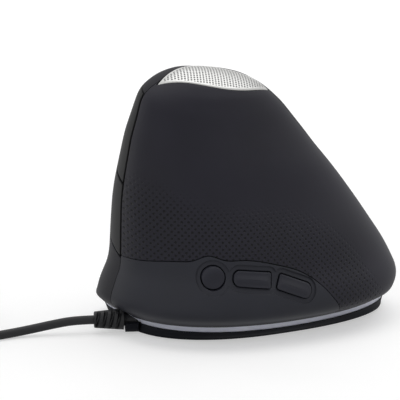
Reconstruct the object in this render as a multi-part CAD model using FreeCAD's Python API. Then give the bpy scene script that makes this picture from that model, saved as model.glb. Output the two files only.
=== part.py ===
import FreeCAD, Part

import math
import os

# An upright mouse for the right hand, in millimetres.
# Z is up, +Y is the front, where the cable leaves, and +X is the finger side.
# The origin lies on the desk, under the middle of the mouse.

os.makedirs("parts", exist_ok=True)

Vector = FreeCAD.Vector
UP = Vector(0, 0, 1)

# Overall size of the moulded form
LENGTH = 107.0
WIDTH = 81.0
HEIGHT = 86.0

# The lines of the form, drawn for a mouse of 107 x 81 x 86.
# Each row: height, then how far it reaches to the front, back, thumb side and finger side,
# then the middle that its four quarters share, across and along, and how square the corner is
# at the front of the finger side and at the back of the thumb side.
DRAWN_LENGTH = 107.0
DRAWN_WIDTH = 81.0
DRAWN_HEIGHT = 86.0
LINES = (
    (0.0, 45.9, -50.8, -27.5, 33.0, 2.0, 4.5, 4.0, 2.3),
    (4.0, 45.8, -53.4, -31.7, 36.0, 2.0, 4.5, 4.9, 1.95),
    (6.4, 48.2, -53.4, -34.1, 37.0, 2.0, 4.5, 4.2, 1.95),
    (10.0, 52.6, -51.4, -39.8, 39.8, 2.0, 4.5, 2.7, 2.35),
    (15.0, 52.2, -53.2, -40.3, 40.5, 2.0, 4.5, 2.35, 2.35),
    (22.0, 49.6, -51.6, -36.8, 38.8, 2.0, 4.5, 2.3, 2.25),
    (32.0, 48.9, -44.8, -32.9, 36.0, 2.0, 6.5, 2.3, 2.35),
    (45.0, 48.4, -35.8, -26.5, 32.0, 2.0, 9.5, 2.3, 2.3),
    (60.0, 45.8, -23.8, -20.5, 26.5, 1.5, 13.5, 2.3, 2.3),
    (72.0, 42.4, -14.5, -15.9, 20.0, 0.5, 17.5, 2.3, 2.3),
    (79.0, 39.2, -7.7, -13.2, 15.0, -0.5, 19.5, 2.3, 2.3),
    (82.8, 33.9, -1.9, -11.0, 11.0, -1.0, 20.5, 2.3, 2.3),
    (85.0, 29.7, 4.1, -8.0, 7.0, -1.0, 20.5, 2.3, 2.3),
    (86.0, 27.5, 9.6, -5.0, 4.0, -1.0, 20.5, 2.3, 2.3),
)
# The drawing is stretched by these to the size asked for
ACROSS = WIDTH / DRAWN_WIDTH
ALONG = LENGTH / DRAWN_LENGTH
UPWARD = HEIGHT / DRAWN_HEIGHT
FULLNESS = 2.3
POINTS_ROUND = 32
STEPS_PER_ROW = 2

# The crown leans to the thumb side and falls to the back, and the lean grows from this height up
CROWN_LEAN = 18.5
CROWN_FALL = 2.5
CROWN_MIDDLE_X = -1.0
CROWN_MIDDLE_Y = 20.5
LEAN_FROM = 50.0

# Walls and seams
WALL = 2.2
SEAM = 0.3
FOOT_THICKNESS = 0.6
BASE_FLOOR = 2.0
RING_BOTTOM = 4.0
RING_TOP = 6.3
RING_INSET = 0.3
RING_DEPTH = 3.0
LIP_GAP = 0.3
LIP_THICKNESS = 1.8
LIP_TOP = 9.5

# Top plate: it follows the crown, and its length is turned by this much towards the finger side
PLATE_LENGTH = 40.0 * ALONG
PLATE_WIDTH = 14.4 * ACROSS
PLATE_TURN = 8.3
PLATE_PROUD = 0.2
PLATE_THICKNESS = 1.2
PLATE_GAP = 0.3
PLATE_X = -3.4
PLATE_Y = 15.7
SEAT_GAP = 0.3
SEAT_THICKNESS = 1.8
SEAT_FLANGE = 1.5

# Seam between the thumb side and the rest, seen from above as (x, y)
SPLIT_LINE = ((1.5, 80.0), (1.8, 50.0), (1.5, 37.0), (-0.5, 18.0), (-4.2, -4.0), (-8.5, -20.0),
              (-10.4, -37.0), (-12.0, -56.0), (-14.0, -80.0))
# Seam between the thumb shell and the thumb panel, seen from the side as (y, z)
PANEL_LINE = ((80.0, 24.0), (50.0, 25.9), (41.0, 27.9), (36.5, 28.4), (32.2, 30.0), (28.2, 28.7), (22.5, 28.3),
              (10.3, 26.0), (2.5, 23.3), (-4.1, 18.6), (-8.0, 14.2), (-12.0, 9.0), (-20.0, -1.5))

# Main buttons, drawn on the finger face, which leans by this angle
FINGER_TILT = 22.0
BUTTON_GAP = 0.6
NOSE_GAP = 1.1
BUTTON_BACK = -8.0 * ALONG
BUTTON_SPLIT = 45.4 * UPWARD
BUTTON_SPLIT_GAP = 1.0
BUTTON_BOTTOM = 23.0 * UPWARD
BUTTON_TOP_BACK = 64.0 * UPWARD
BUTTON_TOP_FRONT = 75.0 * UPWARD
BUTTON_CORNER = 6.0
CLICK_ANGLE = 0.7

# Hinges of the main buttons
HINGE_Y = -3.0 * ALONG
HINGE_DEPTH = 34.0 * ACROSS
HINGE_ROD_RADIUS = 1.0
HINGE_CLEARANCE = 0.05
KNUCKLE_RADIUS = 2.2
KNUCKLE_LENGTH = 6.0
KNUCKLE_ARM = 2.4
LUG_THICKNESS = 1.4
LUG_HALF = 2.2
LUG_GAP = 0.3
UPPER_KNUCKLE = 59.0 * UPWARD
LOWER_KNUCKLE = 33.0 * UPWARD

# Scroll wheel
WHEEL_Y = 22.0 * ALONG
WHEEL_RADIUS = 11.0
WHEEL_WIDTH = 7.0
WHEEL_PROUD = 3.0
TYRE_DEPTH = 1.6
TYRE_ROUNDING = 1.0
HUB_RIM = 1.6
HUB_HOLLOW = 1.5
HUB_BOSS_RADIUS = 2.4
AXLE_SPARE = 0.2
TYRE_GROOVES = 24
GROOVE_WIDTH = 0.7
GROOVE_DEPTH = 0.5
AXLE_RADIUS = 1.25
AXLE_CLEARANCE = 0.05
SLOT_LENGTH = 22.0
SLOT_CORNER = 1.5
BOARD_SLOT_LENGTH = 21.0
SLOT_SIDE_GAP = 0.9
WHEEL_TRAVEL = 0.5

# Cradle of the wheel
CRADLE_SIDE_GAP = 0.6
CRADLE_ARM = 1.6
CRADLE_BAR = 3.0
CRADLE_END_GAP = 1.0
CRADLE_BELOW = 4.6
CRADLE_ABOVE = 2.0
CRADLE_BAR_TOP = -2.0
CRADLE_HUB_HALF = 4.0
POST_SPARE = 0.3
POST_RADIUS = 0.9
POST_CLEARANCE = 0.05
POST_HOLE_GAP = 0.3

# Finger board, the frame behind it and what the board carries
BOARD_THICKNESS = 1.6
BOARD_DROP = 9.0
BOARD_BACK = 2.0 * ALONG
BOARD_FRONT = 38.0 * ALONG
BOARD_BOTTOM = 22.0 * UPWARD
BOARD_TOP = 66.0 * UPWARD
BOARD_NOSE = 3.0
BOARD_SHOULDER = 4.0
BOARD_CORNER = 2.0
FRAME_THICKNESS = 2.0
FRAME_BOSS_WALL = 1.4
FRAME_BOSS_DEPTH = 4.0
FRAME_BOTTOM = 12.0 * UPWARD
FRAME_BACK_REACH = 4.0
FRAME_CORNER = 3.0
FRAME_FOOT_TOP = 26.0 * UPWARD
BOARD_SEAT = 0.2
SWITCH_LENGTH = 12.8
SWITCH_WIDTH = 5.8
SWITCH_HEIGHT = 6.5
PLUNGER_HEIGHT = 0.8
PLUNGER_RADIUS = 1.0
SWITCH_Y = 28.5 * ALONG
UPPER_SWITCH = 60.2 * UPWARD
LOWER_SWITCH = 34.0 * UPWARD
STEM_RADIUS = 2.0
STEM_SPARE = 0.3
ENCODER_LENGTH = 10.0
ENCODER_WIDTH = 3.6
ENCODER_HEIGHT = 11.0
ENCODER_GAP = 0.4
ENCODER_CORNER = 0.8
TACT_SIZE = 6.0
TACT_HEIGHT = 3.4
TACT_PLUNGER = 0.8
TACT_PLUNGER_RADIUS = 1.5
WHEEL_SWITCH_SIZE = (3.6, 3.6, 3.0)
KNOB_RADIUS = 0.9
KNOB_SPARE = 0.3

# Thumb buttons: where they lie along the board (towards the back) and how high
THUMB_TURN = 20.0
THUMB_TRAVEL = 0.6
THUMB_GAP = 0.3
THUMB_PROUD = 0.4
FLANGE_THICKNESS = 1.0
FLANGE_REACH = 0.8
FLANGE_GAP = 0.3
RECESS_DEPTH = 0.4
RECESS_REACH = 1.8
DPI_AT = (-19.4 * ALONG, 23.2 * UPWARD)
DPI_RADIUS = 3.7 * UPWARD
DISH_RADIUS = 12.0
DISH_DEPTH = 0.5
FORWARD_FROM = (-12.9 * ALONG, 23.1 * UPWARD)
FORWARD_TO = (-0.6 * ALONG, 21.7 * UPWARD)
FORWARD_HALF = 2.35 * UPWARD
BACK_FROM = (2.0 * ALONG, 21.3 * UPWARD)
BACK_TO = (13.0 * ALONG, 16.9 * UPWARD)
BACK_HALF = 2.3 * UPWARD
ROUND_END = 2.0
SQUARE_END = 0.6
THUMB_BOARD_FRONT = -26.0 * ALONG
THUMB_BOARD_BACK = 12.5 * ALONG
THUMB_BOARD_BOTTOM = 12.5 * UPWARD
THUMB_BOARD_TOP = 28.0 * UPWARD
THUMB_BOARD_CORNER = 1.5
THUMB_PILOT_DEPTH = 4.0
THUMB_BOARD_DEPTH = 26.2 * ACROSS
THUMB_POSTS = ((-15.2 * ALONG, 15.0 * UPWARD), (0.0, 15.0 * UPWARD))
THUMB_POST_RADIUS = 2.2

# Main board and what it carries
MAIN_BOARD_LEFT = -18.0 * ACROSS
MAIN_BOARD_RIGHT = 15.5 * ACROSS
MAIN_BOARD_BACK = -26.0 * ALONG
MAIN_BOARD_FRONT = 35.0 * ALONG
MAIN_BOARD_Z = 6.0
MAIN_BOARD_CORNER = 5.0
SENSOR_Y = 4.0
SENSOR_HOLE = (7.0, 9.0)
SENSOR_HOLE_CORNER = 1.5
LENS_SIZE = (13.0, 15.0)
LENS_FLANGE = 1.4
LENS_BARREL_RADIUS = 2.6
LENS_CORNER = 1.5
LIGHT_PIPE = (4.0, 7.5, 2.8)
CHIP_HOLE_RADIUS = 1.0
CHIP_SIZE = (9.8, 11.0, 3.0)
LENS_CLEARANCE = 0.1
LAMP_SIZE = (5.0, 3.0, 2.4)
LAMP_Y = 16.0
CONTROLLER_SIZE = (7.0, 7.0, 1.2)
CONTROLLER_X = 2.0
CONTROLLER_Y = -16.0 * ALONG
RING_LAMP_SIZE = (2.0, 1.2, 0.9)
RING_LAMP_INSET = 1.2
CONNECTOR_SIZE = (12.0, 4.0, 6.0)
CONNECTOR_X = -2.0
CONNECTOR_Y = 30.0 * ALONG
SOCKET_SIZE = (3.0, 9.0, 2.2)
SOCKET_INSET = 0.5
RIBBON_THICKNESS = 0.5
RIBBON_WIDTH = 7.0
FINGER_RIBBON_Y = 12.0 * ALONG
FINGER_RIBBON_X = 12.3 * ACROSS
FINGER_RIBBON = ((12.3, 14.8), (19.5, 17.6), (26.3, 22.6), (28.8, 31.0))
RIBBON_LEAD = 6.0
THUMB_RIBBON_AT = -8.0 * ALONG
THUMB_RIBBON_Z = 18.0 * UPWARD
THUMB_RIBBON_DEPTH = 18.0 * ACROSS

# Screws from below and the posts and bosses that they join, as (x, y)
FRAME_FEET = ((21.0, -2.0), (21.0, 27.0))
PALM_BOSS = (4.0, -35.0)
THUMB_BOSS = (-18.0, -30.0)
POST_TOP = 8.0
POST_OUTER = 3.4
BOSS_OUTER = 3.0
BOSS_GAP = 0.2
SCREW_RADIUS = 1.1
SCREW_CLEARANCE = 0.2
THREAD_CLEARANCE = 0.05
SCREW_HEAD_RADIUS = 2.3
SCREW_HEAD_HEIGHT = 1.5
SCREW_HEAD_Z = 1.4
SCREW_LENGTH = 12.0
PILOT_SPARE = 3.0
CROSS_SHARE = 0.6
CROSS_HALF = 0.3
CROSS_DEPTH = 0.8
THUMB_SCREW_LENGTH = 4.0
FINGER_SCREW_LENGTH = 4.5
BOARD_SCREW_LENGTH = 4.0
BOARD_SCREW_INSET = 4.0
BOARD_POST_RADIUS = 2.4
POST_SUNK = 0.5

# Feet under the base: middle x, middle y, size across, size along
FEET = ((2.5, 36.0, 26.0, 6.0), (2.5, -39.0, 28.0, 6.0), (-19.5, 0.0, 5.0, 18.0), (26.0, 0.0, 5.0, 18.0))

# Cable, its strain relief and its plug
CABLE_RADIUS = 1.5
CABLE_HEADING = 68.0
RELIEF_X = -1.2
RELIEF_Y = 45.6
RELIEF_Z = 4.7
RELIEF_TAIL = 3.0
RELIEF_NECK_RADIUS = 2.3
RELIEF_FLANGE_RADIUS = 3.2
RELIEF_FLANGE_THICKNESS = 1.4
RELIEF_START = 5.2
RELIEF_LENGTH = 8.4
RELIEF_ROOT_RADIUS = 3.3
RELIEF_TIP_RADIUS = 2.6
RELIEF_CORE_RADIUS = 2.0
RELIEF_RIBS = 5
RIB_SHARE = 0.62
RIB_CHAMFER = 0.2
NECK_CLEARANCE = 0.2
SPOUT_RADIUS = 4.4
SPOUT_REACH = 3.3
RING_ARCH_RADIUS = 3.9
RING_ARCH_GAP = 0.2
COIL_X = 34.0
COIL_Y = 112.0
COIL_RADIUS = 17.0
COIL_LAYERS = 4
COIL_LOOPS_PER_LAYER = 3
COIL_PITCH = 3.6
# The lead: how far along the heading, then how far off it across, along and down
LEAD_POINTS = ((7.0, 0, 0, 0), (14.0, -0.1, 0, -1.1), (21.0, -0.8, 0.3, -2.3),
               (29.0, -2.6, 0.8, CABLE_RADIUS - RELIEF_Z))
LEAD_LAST_RUN = 12.0
COIL_START_ANGLE = 174.0
COIL_EXTRA = 0.2
TAIL_RUN = 12.0
TAIL_TURN = 30.0
TAIL_MIDDLE_HEIGHT = 8.6
PLUG_BODY = (16.0, 24.0, 8.0)
PLUG_SLEEVE = (2.6, 3.4, 5.0)
PLUG_SHELL = (12.0, 14.0, 4.5)
PLUG_SHELL_WALL = 0.4
PLUG_CORNER = 2.0
PLUG_SHELL_CORNER = 0.6
PLUG_WINDOW = (2.4, 2.2, 6.0)
PLUG_WINDOW_X = 2.8
TONGUE_GAP = 0.05
PLUG_TONGUE = (10.4, 11.0, 1.8)


def spread(x, y, z=0.0):
    """A drawn place on a form of the size asked for."""
    return Vector(x * ACROSS, y * ALONG, z * UPWARD)


def eased(heights, values, z):
    """A smooth curve through the values, with each slope shared between its neighbours."""
    last = len(heights) - 1
    k = 0
    while k < last - 1 and z > heights[k + 1]:
        k += 1
    slopes = [(values[i + 1] - values[i]) / (heights[i + 1] - heights[i]) for i in range(last)]

    def bend(i):
        if i == 0 or i == last:
            return slopes[min(i, last - 1)]
        before = heights[i] - heights[i - 1]
        after = heights[i + 1] - heights[i]
        return (slopes[i - 1] * after + slopes[i] * before) / (before + after)

    step = heights[k + 1] - heights[k]
    t = (z - heights[k]) / step
    start = (2 * t**3 - 3 * t**2 + 1) * values[k] + (t**3 - 2 * t**2 + t) * step * bend(k)
    end = (3 * t**2 - 2 * t**3) * values[k + 1] + (t**3 - t**2) * step * bend(k + 1)
    return start + end


COLUMNS = list(zip(*LINES))


def form_point(level, angle, inset):
    """A point of the outer form, or of the form shrunk by an inset on every side."""
    row = [eased(COLUMNS[0], column, level) for column in COLUMNS[1:]]
    front, back, thumb, finger, mid_x, mid_y, front_corner, back_corner = row
    c = math.cos(angle)
    s = math.sin(angle)
    fullness = FULLNESS
    if c >= 0 and s >= 0:
        fullness = front_corner
    elif c < 0 and s < 0:
        fullness = back_corner
    reach = (abs(c) ** fullness + abs(s) ** fullness) ** (-1.0 / fullness)
    x = mid_x + (finger - mid_x if c >= 0 else mid_x - thumb) * reach * c
    y = mid_y + (front - mid_y if s >= 0 else mid_y - back) * reach * s
    t = min(1.0, max(0.0, (level - LEAN_FROM) / (DRAWN_HEIGHT - LEAN_FROM)))
    lean = (3 * t**2 - 2 * t**3)
    rise = (x - CROWN_MIDDLE_X) * math.tan(math.radians(CROWN_LEAN))
    rise += (y - CROWN_MIDDLE_Y) * math.tan(math.radians(CROWN_FALL))
    place = spread(x, y, level + lean * rise)
    place.x *= 1 - 2 * inset / WIDTH
    place.y *= 1 - 2 * inset / LENGTH
    place.z *= 1 - inset / HEIGHT
    return place


def form(inset):
    """The whole form as a smooth solid, lofted through level sections."""
    levels = []
    for low, high in zip(COLUMNS[0], COLUMNS[0][1:]):
        levels += [low + (high - low) * k / STEPS_PER_ROW for k in range(STEPS_PER_ROW)]
    levels.append(COLUMNS[0][-1])
    turn = 2 * math.pi / POINTS_ROUND
    marks = [k * turn for k in range(POINTS_ROUND + 1)]
    rings = []
    for level in levels:
        curve = Part.BSplineCurve()
        points = [form_point(level, k * turn, inset) for k in range(POINTS_ROUND)]
        curve.interpolate(Points=points, PeriodicFlag=True, Parameters=marks)
        rings.append(Part.Wire(curve.toShape()))
    return Part.makeLoft(rings, True, False)


def axes(origin, x_axis, y_axis):
    """A local frame from its origin and two of its axes."""
    x = Vector(x_axis).normalize()
    z = x.cross(y_axis).normalize()
    y = z.cross(x)
    return FreeCAD.Placement(FreeCAD.Matrix(x.x, y.x, z.x, origin.x, x.y, y.y, z.y, origin.y,
                                            x.z, y.z, z.z, origin.z, 0, 0, 0, 1))


def put(shape, frame):
    """A copy of a shape that was drawn in a local frame."""
    return shape.transformed(frame.toMatrix())


def box(x0, x1, y0, y1, z0, z1):
    """A box between two corners."""
    return Part.makeBox(x1 - x0, y1 - y0, z1 - z0, Vector(x0, y0, z0))


def rod(x, y, radius, z0, z1):
    """An upright cylinder."""
    return Part.makeCylinder(radius, z1 - z0, Vector(x, y, z0))


def slab(z0, z1):
    """Everything between two heights."""
    return box(-3 * WIDTH, 3 * WIDTH, -3 * LENGTH, 3 * LENGTH, z0, z1)


def rounded(points, radii):
    """A closed flat outline of straight lines with an arc at each corner."""
    corners = []
    for k, point in enumerate(points):
        before = Vector(points[k - 1] - point).normalize()
        after = Vector(points[(k + 1) % len(points)] - point).normalize()
        half = before.getAngle(after) / 2
        towards = Vector(before + after).normalize()
        cut = radii[k] / math.tan(half)
        middle = point + towards * (radii[k] / math.sin(half) - radii[k])
        corners.append((point + before * cut, middle, point + after * cut))
    edges = []
    for k, (start, middle, end) in enumerate(corners):
        edges.append(Part.Arc(start, middle, end).toShape())
        following = corners[(k + 1) % len(corners)][0]
        if end.distanceToPoint(following) > 1e-6:
            edges.append(Part.LineSegment(end, following).toShape())
    return Part.Wire(edges)


def raised(outline, z0, z1):
    """A flat outline raised into a solid between two local heights."""
    face = Part.Face(outline)
    face.translate(Vector(0, 0, z0))
    return face.extrude(Vector(0, 0, z1 - z0))


def rounded_box(x0, x1, y0, y1, z0, z1, radius):
    """A box with its four upright edges rounded."""
    corners = (Vector(x0, y0, 0), Vector(x1, y0, 0), Vector(x1, y1, 0), Vector(x0, y1, 0))
    return raised(rounded(corners, [radius] * 4), z0, z1)


def depth_at(frame, x, y, solid):
    """How far out a solid reaches along a local frame's third axis, over a local place."""
    ray = put(Part.LineSegment(Vector(x, y, -200), Vector(x, y, 200)).toShape(), frame)
    inverse = frame.inverse()
    return max(inverse.multVec(v.Point).z for v in ray.common(solid).Vertexes)


def side_of(line, shift, far_x, z0, z1):
    """Everything between the seam line, seen from above, and a far plane across."""
    points = [spread(x, y) + Vector(shift, 0, 0) for x, y in line]
    curve = Part.BSplineCurve()
    curve.interpolate(points)
    first = Vector(far_x, points[0].y, 0)
    last = Vector(far_x, points[-1].y, 0)
    edges = [curve.toShape()]
    edges.append(Part.LineSegment(points[-1], last).toShape())
    edges.append(Part.LineSegment(last, first).toShape())
    edges.append(Part.LineSegment(first, points[0]).toShape())
    return raised(Part.Wire(edges), z0, z1)


def below_panel_line(shift, far_z):
    """Everything on one side of the seam above the thumb panel, over the whole thumb side."""
    points = [Vector(y * ALONG, z * UPWARD + shift, 0) for y, z in PANEL_LINE]
    curve = Part.BSplineCurve()
    curve.interpolate(points)
    first = Vector(points[0].x, far_z, 0)
    last = Vector(points[-1].x, far_z, 0)
    edges = [curve.toShape()]
    edges.append(Part.LineSegment(points[-1], last).toShape())
    edges.append(Part.LineSegment(last, first).toShape())
    edges.append(Part.LineSegment(first, points[0]).toShape())
    across = axes(Vector(0, 0, 0), Vector(0, 1, 0), UP)
    return put(raised(Part.Wire(edges), -2 * WIDTH, WIDTH), across)


def save(name, shape):
    """Write one piece, or one group of like pieces."""
    solids = shape.Solids
    kept = solids[0] if len(solids) == 1 else Part.makeCompound(solids)
    kept.exportStep("parts/" + name + ".step")
    print(name, len(solids), round(kept.Volume, 2), "valid" if kept.isValid() else "NOT VALID")


# Local frames
FINGER_NORMAL = Vector(math.cos(math.radians(FINGER_TILT)), 0, math.sin(math.radians(FINGER_TILT)))
FINGER_UP = Vector(-FINGER_NORMAL.z, 0, FINGER_NORMAL.x)
FINGER = axes(Vector(0, 0, 0), Vector(0, 1, 0), FINGER_UP)
THUMB_NORMAL = Vector(-math.cos(math.radians(THUMB_TURN)), math.sin(math.radians(THUMB_TURN)), 0)
THUMB = axes(Vector(0, 0, 0), UP.cross(THUMB_NORMAL), UP)
CROWN_NORMAL = Vector(-math.tan(math.radians(CROWN_LEAN)), -math.tan(math.radians(CROWN_FALL)), 1).normalize()
PLATE_WAY = Vector(math.sin(math.radians(PLATE_TURN)), math.cos(math.radians(PLATE_TURN)), 0)
CROWN_ALONG = PLATE_WAY - CROWN_NORMAL * CROWN_NORMAL.dot(PLATE_WAY)
CROWN = axes(spread(PLATE_X, PLATE_Y, DRAWN_HEIGHT), CROWN_ALONG, CROWN_NORMAL.cross(CROWN_ALONG))
HEADING = Vector(math.cos(math.radians(CABLE_HEADING)), math.sin(math.radians(CABLE_HEADING)), 0)
RELIEF = axes(spread(RELIEF_X, RELIEF_Y) + Vector(0, 0, RELIEF_Z), UP.cross(HEADING), UP)

# The form and its shells
outer = form(0.0)
inner = form(WALL)
mid_wall = form(WALL / 2)


def along_relief(radius, start, end):
    """A cylinder along the cable where it leaves the mouse."""
    return Part.makeCylinder(radius, end - start, RELIEF.multVec(Vector(0, 0, start)), HEADING)


arch_room = along_relief(RING_ARCH_RADIUS + RING_ARCH_GAP, -RELIEF_LENGTH, 2 * RELIEF_LENGTH)
skin = outer.cut(inner).common(slab(RING_TOP, 2 * HEIGHT)).cut(arch_room)


def lens(grow):
    """The top plate's outline raised into a prism: two arcs that meet in a point at each end."""
    half_length = PLATE_LENGTH / 2 + 2 * grow
    half_width = PLATE_WIDTH / 2 + grow
    tips = (Vector(half_length, 0, 0), Vector(-half_length, 0, 0))
    near = Part.Arc(tips[0], Vector(0, half_width, 0), tips[1]).toShape()
    far = Part.Arc(tips[1], Vector(0, -half_width, 0), tips[0]).toShape()
    return put(raised(Part.Wire([near, far]), -HEIGHT / 4, HEIGHT / 4), CROWN)


save("top_plate", form(-PLATE_PROUD).cut(form(PLATE_THICKNESS)).common(lens(0.0)))

thumb_half = side_of(SPLIT_LINE, -SEAM / 2, -2 * WIDTH, -10, 2 * HEIGHT)
palm_half = side_of(SPLIT_LINE, SEAM / 2, 2 * WIDTH, -10, 2 * HEIGHT)
button_half = side_of(SPLIT_LINE, NOSE_GAP, 2 * WIDTH, -10, 2 * HEIGHT)
plate_hole = lens(PLATE_GAP)

thumb_skin = skin.common(thumb_half).cut(plate_hole)
thumb_shell = thumb_skin.cut(below_panel_line(SEAM / 2, -50))
thumb_panel = thumb_skin.common(below_panel_line(-SEAM / 2, -50))


pilot_top = SCREW_HEAD_Z + SCREW_LENGTH + PILOT_SPARE


def boss(at, bottom):
    """A screw boss that hangs from a shell, with its pilot hole."""
    place = spread(*at)
    body = rod(place.x, place.y, BOSS_OUTER, bottom, HEIGHT).common(mid_wall)
    pilot_radius = SCREW_RADIUS + THREAD_CLEARANCE
    pilot = rod(place.x, place.y, pilot_radius, bottom - 1, pilot_top)
    return body, pilot


body, pilot = boss(THUMB_BOSS, POST_TOP + BOSS_GAP)
save("thumb_shell", thumb_shell.fuse(body).cut(pilot))

# Thumb buttons: each is its stretch of the outer wall, a flange inside it and a stem to its switch
proud = form(-THUMB_PROUD)
recessed = form(RECESS_DEPTH)
board_face = THUMB_BOARD_DEPTH + BOARD_THICKNESS


def round_outline(grow):
    """The round button's outline on the thumb side."""
    return Part.Wire(Part.makeCircle(DPI_RADIUS + grow, Vector(DPI_AT[0], DPI_AT[1], 0)))


def long_outline(start, end, half, radii, grow):
    """A long button's outline, its four corners with their own radii, grown all round."""
    start = Vector(start[0], start[1], 0)
    end = Vector(end[0], end[1], 0)
    along = Vector(end - start).normalize()
    up = Vector(-along.y, along.x, 0)
    a = start - along * grow
    b = end + along * grow
    side = up * (half + grow)
    return rounded((a - side, b - side, b + side, a + side), [r + grow for r in radii])


def forward_outline(grow):
    radii = (ROUND_END, SQUARE_END, SQUARE_END, ROUND_END)
    return long_outline(FORWARD_FROM, FORWARD_TO, FORWARD_HALF, radii, grow)


def back_outline(grow):
    radii = (SQUARE_END, ROUND_END, ROUND_END, SQUARE_END)
    return long_outline(BACK_FROM, BACK_TO, BACK_HALF, radii, grow)


def middle_of(outline):
    """The middle of a flat outline."""
    return Part.Face(outline).CenterOfMass


THUMB_BUTTONS = (
    ("dpi_button", round_outline),
    ("forward_button", forward_outline),
    ("back_button", back_outline),
)
FAR_OUT = WIDTH
flange_outer = form(WALL + FLANGE_GAP)
flange_inner = form(WALL + FLANGE_GAP + FLANGE_THICKNESS)
flange_sheet = flange_outer.cut(flange_inner)
face_sheet = proud.cut(flange_inner)
stem_end = form(WALL + FLANGE_GAP + FLANGE_THICKNESS / 2)
stem_tip = board_face + TACT_HEIGHT + TACT_PLUNGER + THUMB_TRAVEL + STEM_SPARE
switch_places = []
for name, outline in THUMB_BUTTONS:
    at = middle_of(outline(0))
    face = put(raised(outline(0), 0, FAR_OUT), THUMB).common(face_sheet)
    flange = put(raised(outline(FLANGE_REACH), 0, FAR_OUT), THUMB).common(flange_sheet)
    stem = put(rod(at.x, at.y, STEM_RADIUS, stem_tip, FAR_OUT), THUMB).common(stem_end)
    if outline is round_outline:
        top = depth_at(THUMB, at.x, at.y, face)
        dish = Part.makeSphere(DISH_RADIUS, THUMB.multVec(Vector(at.x, at.y, top + DISH_RADIUS - DISH_DEPTH)))
        face = face.cut(dish)
    save(name, face.fuse([flange, stem]))
    switch_places.append(at)
    hole = put(raised(outline(THUMB_GAP), 0, FAR_OUT), THUMB)
    hollow = put(raised(outline(RECESS_REACH), 0, FAR_OUT), THUMB).cut(recessed)
    thumb_panel = thumb_panel.cut([hollow, hole])

posts = []
pilots = []
for x, y in THUMB_POSTS:
    posts.append(put(rod(x, y, THUMB_POST_RADIUS, board_face, FAR_OUT), THUMB).common(mid_wall))
    pilot_end = board_face + THUMB_PILOT_DEPTH
    pilots.append(put(rod(x, y, SCREW_RADIUS + THREAD_CLEARANCE, board_face - 1, pilot_end), THUMB))
save("thumb_panel", thumb_panel.fuse(posts).cut(pilots))

# Thumb board with its three switches and its two screws
thumb_board = rounded_box(THUMB_BOARD_FRONT, THUMB_BOARD_BACK, THUMB_BOARD_BOTTOM, THUMB_BOARD_TOP,
                          THUMB_BOARD_DEPTH, board_face, THUMB_BOARD_CORNER)
for x, y in THUMB_POSTS:
    thumb_board = thumb_board.cut(rod(x, y, SCREW_RADIUS + SCREW_CLEARANCE, 0, FAR_OUT))
save("thumb_board", put(thumb_board, THUMB))


def tact_switch(x, y, z):
    """A small square switch with a round plunger."""
    half = TACT_SIZE / 2
    case = box(x - half, x + half, y - half, y + half, z, z + TACT_HEIGHT)
    return case.fuse(rod(x, y, TACT_PLUNGER_RADIUS, z, z + TACT_HEIGHT + TACT_PLUNGER))


tacts = [put(tact_switch(p.x, p.y, board_face), THUMB) for p in switch_places]
save("thumb_switches", Part.makeCompound(tacts))


def screw(x, y, head, length):
    """A pan-head screw that points up, with a cross recess."""
    shank = rod(x, y, SCREW_RADIUS, head, head + length)
    cap = rod(x, y, SCREW_HEAD_RADIUS, head - SCREW_HEAD_HEIGHT, head)
    top = head - SCREW_HEAD_HEIGHT
    reach = SCREW_HEAD_RADIUS * CROSS_SHARE
    cross = box(x - reach, x + reach, y - CROSS_HALF, y + CROSS_HALF, top, top + CROSS_DEPTH)
    cross = cross.fuse(box(x - CROSS_HALF, x + CROSS_HALF, y - reach, y + reach, top, top + CROSS_DEPTH))
    return shank.fuse(cap).cut(cross)


thumb_screws = [put(screw(x, y, THUMB_BOARD_DEPTH, THUMB_SCREW_LENGTH), THUMB) for x, y in THUMB_POSTS]
save("thumb_screws", Part.makeCompound(thumb_screws))

# Main buttons on the finger side
wheel_surface = depth_at(FINGER, WHEEL_Y, BUTTON_SPLIT, outer)
wheel_depth = wheel_surface + WHEEL_PROUD - WHEEL_RADIUS
finger_face = wheel_depth - BOARD_DROP
FAR_FRONT = LENGTH


def button_outline(bottom_back, bottom_front, top_back, top_front, grow):
    """A main button seen square to the finger face, open ended past the nose."""
    corners = (
        Vector(BUTTON_BACK - grow, bottom_back - grow, 0),
        Vector(FAR_FRONT, bottom_front - grow, 0),
        Vector(FAR_FRONT, top_front + grow, 0),
        Vector(BUTTON_BACK - grow, top_back + grow, 0),
    )
    return rounded(corners, (BUTTON_CORNER, 1.0, 1.0, BUTTON_CORNER))


half_split = BUTTON_SPLIT_GAP / 2
slope = (BUTTON_TOP_FRONT - BUTTON_TOP_BACK) / (LENGTH / 2 - BUTTON_BACK)
far_top = BUTTON_TOP_BACK + slope * (FAR_FRONT - BUTTON_BACK)
upper_sides = (BUTTON_SPLIT + half_split, BUTTON_SPLIT + half_split, BUTTON_TOP_BACK, far_top)
lower_sides = (BUTTON_BOTTOM, BUTTON_BOTTOM, BUTTON_SPLIT - half_split, BUTTON_SPLIT - half_split)
whole_sides = (BUTTON_BOTTOM, BUTTON_BOTTOM, BUTTON_TOP_BACK, far_top)
slot_half = WHEEL_WIDTH / 2 + SLOT_SIDE_GAP
wheel_slot = rounded_box(WHEEL_Y - SLOT_LENGTH / 2, WHEEL_Y + SLOT_LENGTH / 2,
                         BUTTON_SPLIT - slot_half, BUTTON_SPLIT + slot_half, 0, FAR_OUT, SLOT_CORNER)


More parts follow.
